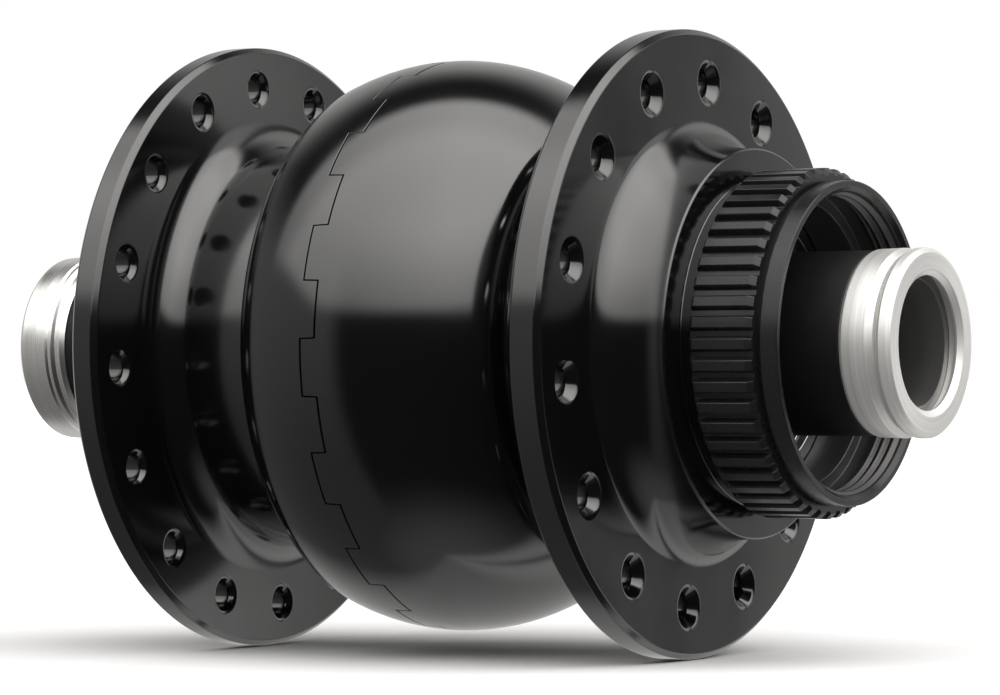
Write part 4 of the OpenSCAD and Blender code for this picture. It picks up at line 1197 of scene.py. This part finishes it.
smooth_copy("axle_tube_lining", "axle_tube", "fixed_axle", "axle_grey")
finish_of = {part["node"]: part["material_slot"] for part in frame["record"]["subparts"]}
for node_name, solid in frame["nodes"].items():
    for place in solid.material_slots:
        place.material = MATERIALS[finish_of[node_name]]
print("solids given a finish:", len(finish_of))

# %% [markdown]
# ## The studio
#
# A mirror-black object is lit by what it reflects, so the studio is modelled zone by zone. Its levels and
# edges aren't a measured room. They were set over many renders, until the tones agreed at a list
# of points on the hub, and another room could give much the same picture. The caps still agree least.
#
# A large soft panel hangs overhead. It comes down in front to a little above
# the horizon, less far on the left, and ends just past the point straight above. In front and below it
# the room is nearly black. A bright wall stands behind on the right, crossed by a dark post and a thin
# dark line at the level of the axle. A dimmer one stands behind on the left, a faint grey one at the
# left, and a grey light comes from straight below.
#
# A world shader makes all this from the direction of a ray: its bearing, 0 towards the camera and
# growing to the right, and its height over the horizon, both in degrees. Soft steps part the zones.
# Area lamps would do too, but each would show its hard edge in the black.
#
# The camera sees plain white instead of the room. Glossy rays see the room as it is. Diffuse rays see
# only DIFFUSE_SHARE of its light, because the whole panel would bleach the matte pieces.

# %% The world
PANEL_LIGHT = 3.5
FRONT_DARK = 0.025
LOW_GREY = 0.34
RIGHT_GREY = 1.05
BACK_GREY = 0.60
DIFFUSE_SHARE = 0.42
ROOM_TINT = (1.0, 0.985, 0.97, 1)
PANEL_FOOT = (10, 17)
PANEL_LEFT_LIFT = 9
PANEL_LEFT = (-58, -92)
PANEL_END = (0.53, 0.35)
PANEL_RISE = (8, 50)
PANEL_DIM = (-0.1, 0.3)
RIGHT_WALL = (85, 108)
RIGHT_FADE = (125, 150)
POST_BEARING = 118.3
POST_EDGE = (2.0, 4.0)
LINE_EDGE = (0.3, 1.5)
BACK_WALL = (-125, -165)
WALL_TOP = (52, 28)
LEFT_WALL = (-46, -58)
LEFT_TOP = (40, 20)
LEFT_RISE = (-50, 22)
BELOW = (-50, -85)


def soft_step(nodes, links, value, start, end):
    """0 before start, 1 after end, and a smooth step between them. start may be the larger."""
    ramp = nodes.new("ShaderNodeMapRange")
    ramp.interpolation_type = "SMOOTHSTEP"
    low, high = min(start, end), max(start, end)
    ramp.inputs["From Min"].default_value = low
    ramp.inputs["From Max"].default_value = high
    ramp.inputs["To Min"].default_value = 0 if start < end else 1
    ramp.inputs["To Max"].default_value = 1 if start < end else 0
    links.new(value, ramp.inputs["Value"])
    return ramp.outputs["Result"]


def combine(nodes, links, operation, first, second=None):
    """One step of arithmetic on two sockets or numbers."""
    node = nodes.new("ShaderNodeMath")
    node.operation = operation
    for place, value in enumerate((first, second)):
        if isinstance(value, (int, float)):
            node.inputs[place].default_value = value
        elif value is not None:
            links.new(value, node.inputs[place])
    return node.outputs[0]


def studio_world():
    """The light of a direction is the panel's light plus the brightest grey zone plus FRONT_DARK. A zone
    is a product of soft steps of bearing and height. backward is how far the direction leans away from
    the camera, over its rise, and is 0 straight above."""
    world = bpy.data.worlds.new("studio")
    world.use_nodes = True
    nodes, links = world.node_tree.nodes, world.node_tree.links
    nodes.clear()

    def step(value, start, end):
        """0 at start, 1 at end, soft between."""
        return soft_step(nodes, links, value, start, end)

    def math_of(operation, first, second=None):
        """One operation on one or two values."""
        return combine(nodes, links, operation, first, second)

    direction = nodes.new("ShaderNodeTexCoord")
    split = nodes.new("ShaderNodeSeparateXYZ")
    links.new(direction.outputs["Generated"], split.inputs[0])
    height = math_of("MULTIPLY", math_of("ARCSINE", split.outputs["Z"]), 180 / math.pi)
    ahead = math_of("ADD", math_of("MULTIPLY", split.outputs["X"], math.cos(YAW)),
                    math_of("MULTIPLY", split.outputs["Y"], math.sin(YAW)))
    aside = math_of("SUBTRACT", math_of("MULTIPLY", split.outputs["Y"], math.cos(YAW)),
                    math_of("MULTIPLY", split.outputs["X"], math.sin(YAW)))
    bearing = math_of("MULTIPLY", math_of("ARCTAN2", aside, ahead), 180 / math.pi)

    rising = math_of("MAXIMUM", split.outputs["Z"], 0.02)
    backward = math_of("DIVIDE", math_of("MULTIPLY", ahead, -1), rising)
    lift = math_of("MULTIPLY", step(bearing, *PANEL_LEFT), PANEL_LEFT_LIFT)
    lifted = math_of("SUBTRACT", height, lift)
    panel = math_of("MULTIPLY", step(backward, *PANEL_END), step(lifted, *PANEL_FOOT))
    rise = math_of("ADD", math_of("MULTIPLY", step(height, *PANEL_RISE), 0.5), 0.5)
    slant = math_of("ADD", math_of("MULTIPLY", math_of("MINIMUM", aside, 0.1), 0.42), 1)
    slant = math_of("SUBTRACT", slant, math_of("MULTIPLY", step(backward, *PANEL_DIM), 0.3))
    panel = math_of("MULTIPLY", panel, math_of("MULTIPLY", rise, slant))

    off_level = step(math_of("ABSOLUTE", height), *LINE_EDGE)
    off_level = math_of("ADD", math_of("MULTIPLY", off_level, 0.93), 0.07)
    off_post = math_of("ABSOLUTE", math_of("SUBTRACT", bearing, POST_BEARING))
    post = math_of("ADD", math_of("MULTIPLY", step(off_post, *POST_EDGE), 0.9), 0.1)
    fading = math_of("ADD", math_of("MULTIPLY", step(bearing, *RIGHT_FADE), -0.4), 1)
    right = math_of("MULTIPLY", math_of("MULTIPLY", step(bearing, *RIGHT_WALL), fading),
                    math_of("MULTIPLY", post, off_level))
    behind = math_of("MAXIMUM", math_of("MULTIPLY", right, RIGHT_GREY),
                     math_of("MULTIPLY", step(bearing, *BACK_WALL), BACK_GREY))
    walls = math_of("MULTIPLY", behind, step(height, *WALL_TOP))
    left = math_of("ADD", math_of("MULTIPLY", step(height, *LEFT_RISE), 0.22), 0.15)
    left = math_of("MULTIPLY", math_of("MULTIPLY", left, step(bearing, *LEFT_WALL)),
                   step(height, *LEFT_TOP))
    below = math_of("MULTIPLY", step(height, *BELOW), LOW_GREY)
    grey = math_of("MAXIMUM", math_of("MAXIMUM", walls, left), below)
    light = math_of("ADD", math_of("MULTIPLY", panel, PANEL_LIGHT), math_of("ADD", grey, FRONT_DARK))

    ray = nodes.new("ShaderNodeLightPath")
    diffuse_part = math_of("MULTIPLY", ray.outputs["Is Diffuse Ray"], DIFFUSE_SHARE - 1)
    level = math_of("MULTIPLY", light, math_of("ADD", diffuse_part, 1.0))
    room = nodes.new("ShaderNodeBackground")
    room.inputs["Color"].default_value = ROOM_TINT
    links.new(level, room.inputs["Strength"])
    white = nodes.new("ShaderNodeBackground")
    white.inputs["Color"].default_value = (1, 1, 1, 1)
    seen = math_of("MAXIMUM", ray.outputs["Is Camera Ray"], ray.outputs["Is Transmission Ray"])
    choose = nodes.new("ShaderNodeMixShader")
    links.new(seen, choose.inputs[0])
    links.new(room.outputs[0], choose.inputs[1])
    links.new(white.outputs[0], choose.inputs[2])
    out = nodes.new("ShaderNodeOutputWorld")
    links.new(choose.outputs[0], out.inputs["Surface"])
    bpy.context.scene.world = world


studio_world()
bpy.context.scene.view_settings.view_transform = "Standard"
print("nodes in the studio's shader:", len(bpy.context.scene.world.node_tree.nodes))

# %% [markdown]
# The photograph was cut out on white and shows no floor. A pale matte sheet under the flanges gives the
# hub somewhere to stand. It leaves only a soft shadow, and it is hidden from glossy rays, so the black
# doesn't mirror it.

# %% The floor
FLOOR_Z = -30.6
FLOOR_HALF = 3000.0
FLOOR_WHITE = (0.93, 0.93, 0.93)
FLOOR_ROUGHNESS = 0.9


def make_floor():
    """A pale sheet under the flanges, one flat face."""
    corner = np.array([[-1, -1], [1, -1], [1, 1], [-1, 1]]) * FLOOR_HALF * MM
    mesh = bpy.data.meshes.new("floor")
    mesh.from_pydata([(x, y, FLOOR_Z * MM) for x, y in corner], [], [(0, 1, 2, 3)])
    floor = bpy.data.objects.new("floor", mesh)
    bpy.context.collection.objects.link(floor)
    material, *_, shader = new_material("pale_floor", FLOOR_WHITE, FLOOR_ROUGHNESS)
    shader.inputs["Specular IOR Level"].default_value = 0
    mesh.materials.append(material)
    floor.visible_glossy = False
    floor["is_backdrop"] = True


make_floor()
print("floor at a height of, mm:", FLOOR_Z)

# %% [markdown]
# ## Sizes
#
# The script prints how far the visual model reaches outside the box of the solids. The visual model
# has to stay inside the box of the solids.

# %% Sizes and the end
seen_low, seen_high = (list(corner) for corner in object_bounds())
below = max(a - b for a, b in zip(cad_low, seen_low))
above = max(b - a for a, b in zip(cad_high, seen_high))
print("outside the solids' box by, mm:", round(max(below, above) / MM, 4))
